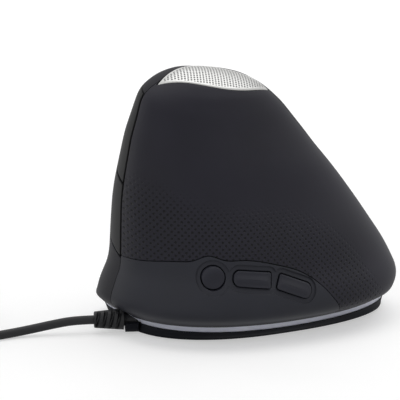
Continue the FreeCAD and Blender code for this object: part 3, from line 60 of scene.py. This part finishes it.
# Cord
# A round 3 mm lead with a matt black jacket, moulded into the sleeve at the nose. It lies on the
# desk, and the length that the photograph doesn't show is put away in a neat coil.
MM = 0.001
CORD_RADIUS = 1.5
COIL_MIDDLE = (34.0, 112.0)
COIL_RADIUS = 17.0
COIL_PITCH = 3.6
COIL_LAYERS = 4
COIL_START = math.radians(174.0)
SPIRAL_TURNS = 2.5
CLIMB_TURNS = 0.5
END_TURNS = 0.2
COIL_TURNS = COIL_LAYERS * (SPIRAL_TURNS + CLIMB_TURNS) + END_TURNS
POINTS_PER_TURN = 16
CORD_STEP = 12.0
STRAIGHT_END = 3.0
TAIL_BEND = math.radians(30.0)
TAIL_HEIGHTS = (12.3, 8.6, 4.0, 4.0)


def coil_point(turns):
    """The middle of the cord after some turns of the coil. The radius changes by a pitch a turn, first
    inwards and then outwards in the layer above. Between two layers it climbs a pitch by a smooth step."""
    radius = COIL_RADIUS + COIL_PITCH * SPIRAL_TURNS / 2
    height = CORD_RADIUS
    left = turns
    for layer in range(COIL_LAYERS):
        inwards = -1 if layer % 2 == 0 else 1
        run = left if layer == COIL_LAYERS - 1 else min(left, SPIRAL_TURNS)
        radius += inwards * COIL_PITCH * run
        left -= run
        if left <= 0:
            break
        climb = min(left, CLIMB_TURNS) / CLIMB_TURNS
        radius += inwards * COIL_PITCH * CLIMB_TURNS * (climb - climb**2)
        height += COIL_PITCH * (3 * climb**2 - 2 * climb**3)
        left -= climb * CLIMB_TURNS
        if climb < 1:
            break
    angle = COIL_START - 2 * math.pi * turns
    return (COIL_MIDDLE[0] + radius * math.cos(angle), COIL_MIDDLE[1] + radius * math.sin(angle), height)


def coil_way(turns):
    """The way that the coil runs there."""
    step = np.subtract(coil_point(turns + 1e-5), coil_point(turns - 1e-5))
    return step / np.linalg.norm(step)


# The lead leaves the sleeve level and sinks to the desk, the coil follows, and the tail comes down
# to the plug in a bend
route = [(3.6555, 57.6178, 4.7), (6.2778, 64.1081, 4.7), (8.8, 70.5984, 3.6), (10.7223, 77.3887, 2.4),
         (11.9191, 85.3061, 1.5)]
first_way = coil_way(0.0)
coil_start = np.subtract(coil_point(0.0), STRAIGHT_END * first_way)
route += [tuple(coil_start - CORD_STEP * first_way), tuple(coil_start)]
route += [coil_point(k / POINTS_PER_TURN) for k in range(1, int(COIL_TURNS * POINTS_PER_TURN) + 1)]
last_way = coil_way(COIL_TURNS)
route.append(tuple(np.add(coil_point(COIL_TURNS), STRAIGHT_END * last_way)))
heading = math.atan2(last_way[1], last_way[0])
for k, height in enumerate(TAIL_HEIGHTS):
    x, y, _ = route[-1]
    way = heading - k * TAIL_BEND
    route.append((x + CORD_STEP * math.cos(way), y + CORD_STEP * math.sin(way), height))
cord_curve = bpy.data.curves.new("cord", "CURVE")
cord_curve.dimensions = "3D"
cord_curve.bevel_depth = 1.0
cord_curve.bevel_resolution = 6
cord_curve.use_fill_caps = True
spline = cord_curve.splines.new("NURBS")
spline.points.add(len(route) - 1)
for point, place in zip(spline.points, route):
    point.co = (place[0] * MM, place[1] * MM, place[2] * MM, 1.0)
    point.radius = CORD_RADIUS * MM
spline.order_u = 3
spline.use_endpoint_u = True
spline.resolution_u = 6
cord = bpy.data.objects.new("cord", cord_curve)
bpy.context.scene.collection.objects.link(cord)
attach(cord, "mouse_body")
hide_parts("cable_lead", "cable_coil", "cable_tail")

TONE_PATCH = 25.0
TONE_STOPS = (0.35, 0.65)
GLOSS_SPREAD = 0.05
EDGE_SAMPLES = 6


def moulded(name, colour, roughness, grain=0.25, depth=0.01, spread=0.12,
            metallic=0.0, specular=0.5, edge=0.0):
    """A finish with a fine grain in the surface, slow changes of tone and gloss, and edges that
    look rolled over. Grain, its depth and the edge's radius are in mm."""
    material = bpy.data.materials.new(name)
    material.use_nodes = True
    nodes = material.node_tree.nodes
    links = material.node_tree.links
    shader = nodes["Principled BSDF"]
    place = nodes.new("ShaderNodeTexCoord").outputs["Object"]
    noises = []
    for patch, detail in ((grain, 2.0), (TONE_PATCH, 3.0)):
        noise = nodes.new("ShaderNodeTexNoise")
        noise.inputs["Scale"].default_value = 1 / MM / patch
        noise.inputs["Detail"].default_value = detail
        links.new(place, noise.inputs["Vector"])
        noises.append(noise.outputs["Fac"])
    fine, slow = noises
    tone = nodes.new("ShaderNodeValToRGB")
    for stop, position, change in zip(tone.color_ramp.elements, TONE_STOPS, (1 - spread, 1 + spread)):
        stop.position = position
        stop.color = (*(c * change for c in colour), 1)
    links.new(slow, tone.inputs[0])
    links.new(tone.outputs[0], shader.inputs["Base Color"])
    gloss = nodes.new("ShaderNodeMapRange")
    gloss.inputs["To Min"].default_value = roughness - GLOSS_SPREAD
    gloss.inputs["To Max"].default_value = roughness + GLOSS_SPREAD
    links.new(slow, gloss.inputs["Value"])
    links.new(gloss.outputs["Result"], shader.inputs["Roughness"])
    bump = nodes.new("ShaderNodeBump")
    bump.inputs["Distance"].default_value = depth * MM
    bump.inputs["Strength"].default_value = 1.0
    links.new(fine, bump.inputs["Height"])
    if edge:
        rolled = nodes.new("ShaderNodeBevel")
        rolled.samples = EDGE_SAMPLES
        rolled.inputs["Radius"].default_value = edge * MM
        links.new(rolled.outputs["Normal"], bump.inputs["Normal"])
    links.new(bump.outputs["Normal"], shader.inputs["Normal"])
    shader.inputs["Metallic"].default_value = metallic
    shader.inputs["Specular IOR Level"].default_value = specular
    return material


cord_curve.materials.append(moulded("cable jacket", (0.020, 0.020, 0.022), 0.50, grain=0.4, specular=0.25))

# Plug
# A flat four-pole plug at the far end: a soft grip moulded round a folded steel shell, and inside
# the shell a white plastic tongue that carries the contacts.


def dress(finish, *names):
    """Give nodes of the frame a finish."""
    for name in names:
        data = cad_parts[name].data
        for k in range(len(data.materials)):
            data.materials[k] = finish


dress(moulded("plug grip", (0.020, 0.020, 0.021), 0.50, edge=0.4), "plug_body")
dress(moulded("plug steel", (0.60, 0.60, 0.61), 0.28, metallic=1.0, edge=0.1), "plug_shell")
dress(moulded("plug tongue", (0.70, 0.69, 0.66), 0.40), "plug_tongue")

# Sleeve
# The soft strain relief at the nose, moulded round the cord. Slanted slots from both sides leave
# ribs that are joined above and below, and it tapers outwards.
SLEEVE_AT = np.array((-1.2, 45.6, 4.7))
SLEEVE_WAY = np.array((0.37461, 0.92718, 0.0))
SLEEVE_SIDE = np.array((-0.92718, 0.37461, 0.0))
SLEEVE_UP = np.array((0.0, 0.0, 1.0))
SLEEVE_RADII = (3.6, 2.75)
SLEEVE_FROM = -3.0
SLEEVE_NECK = 2.3
SLEEVE_FLANGE = 3.2
FLANGE_TO = -1.6
NECK_TO = 3.79
RIBS_FROM = 3.8
RIBS_TO = 13.7
RIB_PITCH = 2.35
RIB_SLANT = 0.22
SLOT_DEPTH = 1.1
SLOT_PLACE = 0.75
SLOT_EDGE = (0.09, 0.30)
SLOT_SIDES = (0.22, 0.5)
FIRST_SLOT = (RIBS_FROM + 0.3, RIBS_FROM + 0.6)
LAST_SLOT = (RIBS_TO - 0.7, RIBS_TO - 0.4)
END_ROLL = 0.35
CORD_GAP = 0.05
HAIR = 0.001
ROWS_ALONG = 110
POINTS_ROUND = 72


def smooth(value, low, high):
    """A smooth step from 0 to 1 between low and high."""
    t = np.clip((value - low) / (high - low), 0, 1)
    return t * t * (3 - 2 * t)


def surface(name, grid):
    """A closed skin from rows of points: neighbours are joined round and along, and one face closes
    each end."""
    rows, round_it = grid.shape[:2]
    index = np.arange(rows * round_it).reshape(rows, round_it)
    following = np.roll(index, -1, 1)
    faces = np.stack((index[:-1], following[:-1], following[1:], index[1:]), -1).reshape(-1, 4).tolist()
    faces += [index[0, ::-1].tolist(), index[-1].tolist()]
    mesh = bpy.data.meshes.new(name)
    mesh.from_pydata((grid.reshape(-1, 3) * MM).tolist(), [], faces)
    mesh.shade_smooth()
    mesh.update()
    piece = bpy.data.objects.new(name, mesh)
    bpy.context.scene.collection.objects.link(piece)
    return piece


def sleeve_points(along, angle):
    """Radius = neck or tapering rib, less the slot depth where a slanted slot is open, rolled over at
    the tip by a quarter circle. The slots are open only near both sides, so that the top and the
    bottom stay joined."""
    body = np.interp(along, (RIBS_FROM, RIBS_TO), SLEEVE_RADII)
    body = np.where(along < NECK_TO, SLEEVE_NECK, body)
    body = np.where(along < FLANGE_TO, SLEEVE_FLANGE, body)
    side = np.cos(angle)
    place = (along - RIBS_FROM + RIB_SLANT * body * np.sin(angle) * np.sign(side)) / RIB_PITCH
    from_slot = np.abs(place - np.floor(place) - SLOT_PLACE)
    slot = (1 - smooth(from_slot, *SLOT_EDGE)) * smooth(np.abs(side), *SLOT_SIDES)
    slot *= smooth(along, *FIRST_SLOT) * (1 - smooth(along, *LAST_SLOT))
    radius = body - SLOT_DEPTH * slot
    past = np.clip(along - RIBS_TO + END_ROLL, 0, END_ROLL)
    radius += np.sqrt(END_ROLL**2 - past**2) - END_ROLL
    radius = np.where(along > RIBS_TO, CORD_RADIUS + CORD_GAP, radius)
    centre = SLEEVE_AT + np.minimum(along, RIBS_TO)[..., None] * SLEEVE_WAY
    return centre + (radius * side)[..., None] * SLEEVE_SIDE + (radius * np.sin(angle))[..., None] * SLEEVE_UP


# Two rows a hair apart make a sharp edge
sleeve_along = np.concatenate((
    (SLEEVE_FROM, FLANGE_TO - HAIR, FLANGE_TO + HAIR, 0.0, 2.0, NECK_TO - HAIR, NECK_TO + HAIR),
    np.linspace(RIBS_FROM, RIBS_TO, ROWS_ALONG), (RIBS_TO + 10 * HAIR,)))
sleeve_round = np.linspace(0, 2 * math.pi, POINTS_ROUND, endpoint=False)
sleeve = surface("sleeve", sleeve_points(*np.meshgrid(sleeve_along, sleeve_round, indexing="ij")))
sleeve.data.materials.append(moulded("soft sleeve", (0.018, 0.018, 0.020), 0.48, grain=0.3, specular=0.25))
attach(sleeve, "mouse_body")
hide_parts("strain_relief")

# Base
# The bottom tray in matt black plastic, with its steel screws from below and four slippery feet
# stuck into shallow pockets.
dress(moulded("base plastic", (0.014, 0.015, 0.019), 0.62, specular=0.05, edge=0.3), "base_housing")
dress(moulded("slippery feet", (0.030, 0.030, 0.032), 0.28, edge=0.2), "glide_feet")
dress(moulded("screw steel", (0.52, 0.52, 0.53), 0.30, metallic=1.0, edge=0.1),
      "base_screws", "board_screws", "thumb_screws", "finger_screws")

# Light ring
# A milky band of clear plastic, held between the base and the shells. Small lamps inside feed it.
# It is unlit here, a pale grey with a touch of lilac.
ring_finish = moulded("milky plastic", (0.80, 0.82, 0.97), 0.38, specular=0.4, edge=0.15)
ring_shader = ring_finish.node_tree.nodes["Principled BSDF"]
ring_shader.inputs["Subsurface Weight"].default_value = 0.35
ring_shader.inputs["Subsurface Radius"].default_value = (1.2, 1.2, 1.4)
ring_shader.inputs["Subsurface Scale"].default_value = MM
dress(ring_finish, "light_ring")

# Shells
# Two black mouldings meet along a seam over the crown: the palm shell with the back and the lower
# finger side, and the thumb shell. Below it sits the plain thumb panel round the side buttons.
dress(moulded("palm shell", (0.0115, 0.0113, 0.0155), 0.58, specular=0.14, edge=0.35), "palm_shell")
dress(moulded("thumb panel", (0.0168, 0.0178, 0.0248), 0.54, specular=0.24, edge=0.35), "thumb_panel")

# Grip
# The thumb shell is moulded with rows of small round pits, in a lattice of diagonals, from the seam
# above the panel upwards. They run out along a slanting line.
PIT_PITCH = 1.5
PIT_DEPTH = 0.4
PIT_EDGE = (0.15, 0.30)
PIT_ROWS = ((-0.2418, -0.6644, 0.7071), (0.2418, 0.6644, 0.7071))
PIT_LIMIT = ((-34.0, 14.0), (-27.0, 22.4), (-21.8, 31.1), (-2.1, 44.4), (16.4, 46.7), (32.2, 49.8),
             (46.0, 56.4))
LIMIT_FROM = -60.0
LIMIT_SPAN = 120.0
LIMIT_TOP = 60.0
PIT_FADE = 12.0


def worked(tree, operation, *values):
    """One step of arithmetic on values or sockets."""
    step = tree.nodes.new("ShaderNodeMath")
    step.operation = operation
    for socket, value in zip(step.inputs, values):
        if isinstance(value, (int, float)):
            socket.default_value = value
        else:
            tree.links.new(value, socket)
    return step.outputs[0]


def between(tree, value, low, high):
    """A smooth step of a socket from 0 at low to 1 at high."""
    step = tree.nodes.new("ShaderNodeMapRange")
    step.interpolation_type = "SMOOTHSTEP"
    step.inputs["From Min"].default_value = low
    step.inputs["From Max"].default_value = high
    tree.links.new(value, step.inputs["Value"])
    return step.outputs["Result"]


def holes(tree, rows, edge):
    """1 in the round holes of a lattice and 0 between them. Each row gives the way across the lattice,
    its pitch in mm and how wide its cells count, and the edge is in shares of the pitch."""
    place = tree.nodes.new("ShaderNodeTexCoord").outputs["Object"]
    squares = []
    for way, pitch, width in rows:
        along = tree.nodes.new("ShaderNodeVectorMath")
        along.operation = "DOT_PRODUCT"
        along.inputs[1].default_value = np.array(way) / (pitch * MM)
        tree.links.new(place, along.inputs[0])
        cell = worked(tree, "SUBTRACT", worked(tree, "FRACT", along.outputs["Value"]), 0.5)
        cell = worked(tree, "MULTIPLY", cell, width)
        squares.append(worked(tree, "MULTIPLY", cell, cell))
    from_middle = worked(tree, "SQRT", worked(tree, "ADD", *squares))
    return worked(tree, "SUBTRACT", 1.0, between(tree, from_middle, *edge))


def sink(tree, mask, depth):
    """Sinks the face by a depth in mm where a mask is 1, below the grain and above the rolled edges."""
    sunk = tree.nodes.new("ShaderNodeBump")
    sunk.invert = True
    sunk.inputs["Distance"].default_value = depth * MM
    tree.links.new(mask, sunk.inputs["Height"])
    grain = tree.nodes["Bump"].inputs["Normal"]
    if grain.is_linked:
        tree.links.new(grain.links[0].from_socket, sunk.inputs["Normal"])
    tree.links.new(sunk.outputs["Normal"], grain)


def paint_shade(tree, mask, tone, blend="MIX"):
    """Paints shade: lays a dark tone over the finish's own colour where a mask is 1."""
    mix = tree.nodes.new("ShaderNodeMix")
    mix.data_type = "RGBA"
    mix.blend_type = blend
    amount, own, laid = mix.inputs[0], mix.inputs[6], mix.inputs[7]
    laid.default_value = (tone, tone, tone, 1)
    tree.links.new(mask, amount)
    tree.links.new(tree.nodes["Color Ramp"].outputs[0], own)
    tree.links.new(mix.outputs[2], tree.nodes["Principled BSDF"].inputs["Base Color"])


grip = moulded("pitted grip", (0.0135, 0.0130, 0.0200), 0.56, specular=0.19, edge=0.35)
grip_tree = grip.node_tree
grip_place = grip_tree.nodes.new("ShaderNodeSeparateXYZ")
grip_tree.links.new(grip_tree.nodes["Texture Coordinate"].outputs["Object"], grip_place.inputs[0])
# The height up to which the pits go, as a curve over the length of the shell
limit = grip_tree.nodes.new("ShaderNodeFloatCurve")
limit_curve = limit.mapping.curves[0]
limit_curve.points[0].location = (0.0, 0.0)
limit_curve.points[1].location = (1.0, 1.0)
for y, z in PIT_LIMIT:
    limit_curve.points.new((y - LIMIT_FROM) / LIMIT_SPAN, z / LIMIT_TOP)
limit.mapping.update()
from_back = worked(grip_tree, "SUBTRACT", grip_place.outputs["Y"], LIMIT_FROM * MM)
grip_tree.links.new(worked(grip_tree, "DIVIDE", from_back, LIMIT_SPAN * MM), limit.inputs["Value"])
limit_height = worked(grip_tree, "MULTIPLY", limit.outputs["Value"], LIMIT_TOP * MM)
below_limit = worked(grip_tree, "SUBTRACT", limit_height, grip_place.outputs["Z"])
pits = worked(grip_tree, "MULTIPLY", holes(grip_tree, [(way, PIT_PITCH, 1.0) for way in PIT_ROWS], PIT_EDGE),
              between(grip_tree, below_limit, 0.0, PIT_FADE * MM))
sink(grip_tree, pits, PIT_DEPTH)
# Painted shade: the floor of a pit is darkened in the colour, as it catches less light than the face round it
paint_shade(grip_tree, worked(grip_tree, "MULTIPLY", pits, 0.9), 0.12, "MULTIPLY")
dress(grip, "thumb_shell")

# Main buttons
# The two main buttons wrap round the nose from the finger side, in slightly lighter plastic. Each
# is a thin moulding that swings on a hinge behind it.
dress(moulded("main button", (0.0175, 0.0175, 0.0185), 0.55, specular=0.12, edge=0.5),
      "upper_button", "lower_button")

# Thumb buttons
# A round one with a shallow dish and two long ones, each a moulded cap on a stem in its own hole
# in the panel. Their edges are rolled over, and the long ones carry a soft ridge.
KEY_ROLL = 0.32
KEY_WALL = 3.0
KEY_RIDGE = 0.5
RIDGE_WIDTH = 1.1
RIDGE_SHIFT = 0.2
RIDGE_START = 1.6
FACE_EDGE = 0.15
FACE_LOOK = 0.75
FACE_ROWS = 9
FACE_MIDDLE = 0.06
CORNER_POINTS = 9
RUN_POINTS = 12
ROLL_POINTS = 7
ROUND_REACH = 3.7
FRONT_HALF = 2.35
REAR_HALF = 2.3
ROUND_END = 2.0
SQUARE_END = 0.6
SMALLEST_CORNER = 0.05
key_turn = math.radians(20.0)
key_axes = np.array(((-math.sin(key_turn), -math.cos(key_turn), 0.0), (0.0, 0.0, 1.0),
                     (-math.cos(key_turn), math.sin(key_turn), 0.0)))
key_finish = moulded("thumb button", (0.0130, 0.0135, 0.0210), 0.48, specular=0.24)


def node_points(node, axes):
    """A node's points in mm and their normals, both measured along three axes."""
    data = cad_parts[node].data
    points, normals = np.empty(len(data.vertices) * 3), np.empty(len(data.vertices) * 3)
    data.vertices.foreach_get("co", points)
    data.vertices.foreach_get("normal", normals)
    return points.reshape(-1, 3) / MM @ axes.T, normals.reshape(-1, 3) @ axes.T


def powers(u, v, highest=4):
    """The powers of two coordinates and their products, up to the fourth degree. The second one
    goes up to a highest power of its own."""
    return np.stack([u**i * v**j for i in range(5) for j in range(5 - i) if j <= highest], -1)


def circle(turned):
    """Points of the unit circle."""
    return np.stack((np.cos(turned), np.sin(turned)), -1)


def long_outline(start, end, half, radii, inset):
    """Four corner arcs joined by straight runs, moved inwards by the inset. It gives the points and
    how far each lies across from the middle line."""
    length = math.dist(start, end)
    along = np.subtract(end, start) / length
    across = np.array((-along[1], along[0]))
    corners = ((0, -half), (length, -half), (length, half), (0, half))
    arcs = []
    for k, (radius, corner, inward) in enumerate(zip(radii, corners, ((1, 1), (-1, 1), (-1, -1), (1, -1)))):
        small = max(radius - inset, SMALLEST_CORNER)
        turned = math.pi + (k + np.linspace(0, 1, CORNER_POINTS)) * math.pi / 2
        arcs.append(corner + np.array(inward) * (inset + small) + small * circle(turned))
    run = np.linspace(0, 1, RUN_POINTS + 2)[1:-1, None]
    runs = [arc[-1] + run * (after[0] - arc[-1]) for arc, after in zip(arcs, arcs[1:] + arcs[:1])]
    local = np.concatenate([part for pair in zip(arcs, runs) for part in pair])
    return start + local[:, :1] * along + local[:, 1:] * across, local[:, 1]


def round_outline(middle, radius, inset):
    """A circle moved inwards by the inset."""
    turned = np.linspace(0, 2 * math.pi, 4 * (CORNER_POINTS + RUN_POINTS), endpoint=False)
    return middle + (radius - inset) * circle(turned), np.zeros(len(turned))


def key(name, node, reach, outline, ridge):
    """A cap whose face follows the node's own face, fitted by powers of the place on it, with an
    edge rolled over by a quarter circle and a ridge that rises as a bell curve across."""
    points, normals = node_points(node, key_axes)
    edge = outline(FACE_EDGE)[0]
    run = np.roll(edge, -1, 0) - edge
    off = points[:, None, :2] - edge
    inside = (run[:, 0] * off[..., 1] > run[:, 1] * off[..., 0]).all(1)
    face = points[inside & (normals[:, 2] > FACE_LOOK)]
    centre = face.mean(0)[:2]
    rise = np.linalg.lstsq(powers(*((face[:, :2] - centre) / reach).T), face[:, 2], rcond=None)[0]
    rolled = np.linspace(0, math.pi / 2, ROLL_POINTS)
    insets = [0.0, *(KEY_ROLL * (1 - np.cos(rolled))),
              *np.linspace(KEY_ROLL, reach - FACE_MIDDLE, FACE_ROWS + 1)[1:]]
    drops = [KEY_WALL, *(KEY_ROLL * (1 - np.sin(rolled))), *([0.0] * FACE_ROWS)]
    rows = []
    for inset, drop in zip(insets, drops):
        place, across = outline(inset)
        bell = ridge * np.exp(-((across + RIDGE_SHIFT) / RIDGE_WIDTH) ** 2) * smooth(inset, 0.0, RIDGE_START)
        rows.append(np.column_stack((place, powers(*((place - centre) / reach).T) @ rise - drop + bell)))
    piece = surface(name, np.array(rows) @ key_axes)
    piece.data.materials.append(key_finish)
    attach(piece, node)
    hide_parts(node)


round_first = (ROUND_END, SQUARE_END, SQUARE_END, ROUND_END)
square_first = (SQUARE_END, ROUND_END, ROUND_END, SQUARE_END)
key("round_key", "dpi_button", ROUND_REACH,
    lambda inset: round_outline((-19.4, 23.2), ROUND_REACH, inset), 0.0)
key("front_key", "forward_button", FRONT_HALF,
    lambda inset: long_outline((-12.9, 23.1), (-0.6, 21.7), FRONT_HALF, round_first, inset), KEY_RIDGE)
key("rear_key", "back_button", REAR_HALF,
    lambda inset: long_outline((2.0, 21.3), (13.0, 16.9), REAR_HALF, square_first, inset), KEY_RIDGE / 2)

# Top plate
# A lens of pressed aluminium sunk into the crown. Its rim is plain and polished, and inside it
# the metal is pierced by a fine slanting mesh.
PLATE_AT = np.array((-3.4, 15.7, 86.0))
PLATE_HALF_LENGTH = 20.0
PLATE_HALF_WIDTH = 7.2
PLATE_LEAN = math.radians(18.5)
PLATE_FALL = math.radians(2.5)
PLATE_TURN = math.radians(8.3)
PLATE_LOOK = 0.6
RIM_WIDTH = 0.75
MESH_SUNK = 0.18
MESH_PITCH = 1.05
MESH_SLANT = -12.0
MESH_CROSSING = 100.0
MESH_EDGE = (0.22, 0.34)
MESH_START = 0.15
MESH_DEPTH = 0.15
POINTS_ABOUT = 160
plate_up = np.array((-math.tan(PLATE_LEAN), -math.tan(PLATE_FALL), 1.0))
plate_up /= np.linalg.norm(plate_up)
plate_way = np.array((math.sin(PLATE_TURN), math.cos(PLATE_TURN), 0.0))
plate_way -= plate_up * plate_up.dot(plate_way)
plate_way /= np.linalg.norm(plate_way)
plate_side = np.cross(plate_up, plate_way)
plate_axes = np.stack((plate_way, plate_side, plate_up))


def plate_terms(u, v):
    """The powers that the rise of the plate is made of, over its length and width."""
    return powers(u / PLATE_HALF_LENGTH, v / PLATE_HALF_WIDTH, highest=3)


def lens_outline(inset, angle):
    """Two arcs of one radius that meet at the tips, moved inwards by the inset."""
    radius = (PLATE_HALF_LENGTH**2 + PLATE_HALF_WIDTH**2) / (2 * PLATE_HALF_WIDTH)
    middle = radius - PLATE_HALF_WIDTH
    half = np.sqrt(np.clip((radius - inset) ** 2 - middle**2, 0, None))
    u = half * np.cos(angle)
    return u, np.sign(np.sin(angle)) * (np.sqrt(np.clip((radius - inset) ** 2 - u**2, 0, None)) - middle)


# The face of the frame's plate gives the rise, and the rolled rim and the sunk mesh follow it. Each row
# of points goes once round at its own inset and height, and starts just off a tip, where the arcs meet
plate_points, plate_normals = node_points("top_plate", plate_axes)
plate_face = (plate_points - plate_axes @ PLATE_AT)[plate_normals[:, 2] > PLATE_LOOK]
plate_rise = np.linalg.lstsq(plate_terms(*plate_face.T[:2]), plate_face[:, 2], rcond=None)[0]
plate_rows = [(0.0, -1.3), (0.0, -0.35), (0.03, -0.2), (0.10, -0.1), (0.2, -0.03), (0.35, 0.0), (0.5, 0.0),
              (RIM_WIDTH - 0.1, 0.0), (RIM_WIDTH - 0.02, -0.03), (RIM_WIDTH + 0.02, -MESH_SUNK + 0.03),
              (RIM_WIDTH + 0.1, -MESH_SUNK)]
plate_rows += [(d, -MESH_SUNK) for d in np.linspace(RIM_WIDTH + 0.5, PLATE_HALF_WIDTH - 0.05, 12)]
plate_inset, plate_lift = (np.array(v)[:, None] for v in zip(*plate_rows))
plate_angle = np.linspace(0, 2 * math.pi, POINTS_ABOUT, endpoint=False)[None] + 1e-4
plate_u, plate_v = lens_outline(plate_inset, plate_angle)
plate_w = plate_terms(plate_u, plate_v) @ plate_rise + plate_lift
plate = surface("mesh_plate", PLATE_AT + np.stack((plate_u, plate_v, plate_w), -1) @ plate_axes)
inset_row = plate.data.attributes.new("inset", "FLOAT", "POINT")
inset_row.data.foreach_set("value", np.repeat(plate_inset[:, 0], POINTS_ABOUT))
plate_metal = moulded("pressed aluminium", (0.50, 0.50, 0.49), 0.36, grain=0.2, spread=0.03, metallic=1.0)
plate_tree = plate_metal.node_tree
mesh_rows = []
for degrees, width in ((MESH_SLANT, 1.0), (MESH_SLANT + MESH_CROSSING, 0.8)):
    slant = math.radians(degrees)
    mesh_rows.append((math.cos(slant) * plate_way + math.sin(slant) * plate_side, MESH_PITCH, width))
inset = plate_tree.nodes.new("ShaderNodeAttribute")
inset.attribute_name = "inset"
mesh_holes = worked(plate_tree, "MULTIPLY", holes(plate_tree, mesh_rows, MESH_EDGE),
                    between(plate_tree, inset.outputs["Fac"], RIM_WIDTH, RIM_WIDTH + MESH_START))
# Painted shade: the holes of the mesh are darkened in the colour, for the shade inside them
paint_shade(plate_tree, mesh_holes, 0.10)
sink(plate_tree, mesh_holes, MESH_DEPTH)
plate.data.materials.append(plate_metal)
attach(plate, "mouse_body")
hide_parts("top_plate")

# Scroll wheel
# A ribbed rubber tyre stretched over a moulded hub. The hub's axle turns in a sprung cradle between
# the main buttons, which gives way when the wheel is pressed.
dress(moulded("tyre rubber", (0.012, 0.012, 0.012), 0.70, edge=0.1), "scroll_tyre")
dress(moulded("wheel hub", (0.05, 0.05, 0.052), 0.35, edge=0.2), "scroll_hub")
dress(moulded("wheel cradle", (0.06, 0.06, 0.06), 0.45, edge=0.2), "wheel_cradle")

# Inside
# A moulded rib carries the two small boards, and the main board lies in the base. The boards are
# green with black parts soldered on, and grey ribbons in pale sockets join them.
dress(moulded("inner rib", (0.07, 0.07, 0.07), 0.50, edge=0.2), "inner_frame")
dress(moulded("board", (0.02, 0.11, 0.05), 0.30, spread=0.2), "finger_board", "thumb_board", "main_board")
dress(moulded("black case", (0.02, 0.02, 0.02), 0.40), "upper_switch", "lower_switch", "wheel_encoder",
      "wheel_switch", "thumb_switches", "sensor_chip", "controller_chip")
dress(moulded("pale socket", (0.60, 0.57, 0.48), 0.45), "cable_connector", "ribbon_sockets")
dress(moulded("clear lens", (0.70, 0.72, 0.75), 0.15), "sensor_lens", "ring_lamps", "sensor_lamp")
dress(moulded("ribbon", (0.55, 0.55, 0.57), 0.50), "finger_ribbon", "thumb_ribbon")

# Studio
# A pale floor 18 m wide and a white room round it, both brighter to the camera than to the mouse.
# Soft light comes from above and from the left of the camera.
FLOOR_REACH = 9.0
FLOOR_CORNERS = np.array(((-1, -1, 0), (1, -1, 0), (1, 1, 0), (-1, 1, 0))) * FLOOR_REACH
FLOOR_GLOW = 0.46
ROOM_LIGHT = 0.45


def seen(tree):
    """1 for what the camera sees directly, in a gloss or through glass, and 0 for light on the mouse."""
    path = tree.nodes.new("ShaderNodeLightPath").outputs
    outright = worked(tree, "MAXIMUM", path["Is Camera Ray"], path["Is Glossy Ray"])
    return worked(tree, "MAXIMUM", outright, path["Is Transmission Ray"])


floor_data = bpy.data.meshes.new("floor")
floor_data.from_pydata(FLOOR_CORNERS.tolist(), [], [(0, 1, 2, 3)])
floor = bpy.data.objects.new("floor", floor_data)
bpy.context.scene.collection.objects.link(floor)
floor_finish = moulded("floor", (0.64, 0.64, 0.64), 0.60, grain=2.0, depth=0.0, spread=0.01, specular=0.1)
floor_data.materials.append(floor_finish)
floor_tree = floor_finish.node_tree
floor_shader = floor_tree.nodes["Principled BSDF"]
floor_shader.inputs["Emission Color"].default_value = (1, 1, 1, 1)
floor_tree.links.new(worked(floor_tree, "MULTIPLY", seen(floor_tree), FLOOR_GLOW),
                     floor_shader.inputs["Emission Strength"])

room = bpy.data.worlds.new("room")
bpy.context.scene.world = room
room.use_nodes = True
room_tree = room.node_tree
background = room_tree.nodes["Background"]
background.inputs["Color"].default_value = (1, 1, 1, 1)
room_tree.links.new(worked(room_tree, "ADD", worked(room_tree, "MULTIPLY", seen(room_tree), 1.0 - ROOM_LIGHT),
                           ROOM_LIGHT), background.inputs["Strength"])


def soft_sun(name, way, strength, spread):
    """An even light from far away that points along a way, with soft shadows."""
    data = bpy.data.lights.new(name, "SUN")
    data.energy = strength
    data.angle = math.radians(spread)
    lamp = bpy.data.objects.new(name, data)
    bpy.context.scene.collection.objects.link(lamp)
    lamp.rotation_mode = "QUATERNION"
    lamp.rotation_quaternion = Vector(way).to_track_quat("-Z", "Y")


soft_sun("overhead", (-0.15, 0.25, -1.0), 1.2, 70)
soft_sun("left of the camera", (0.25, -0.80, -0.45), 0.22, 50)
bpy.context.scene.view_settings.view_transform = "Standard"
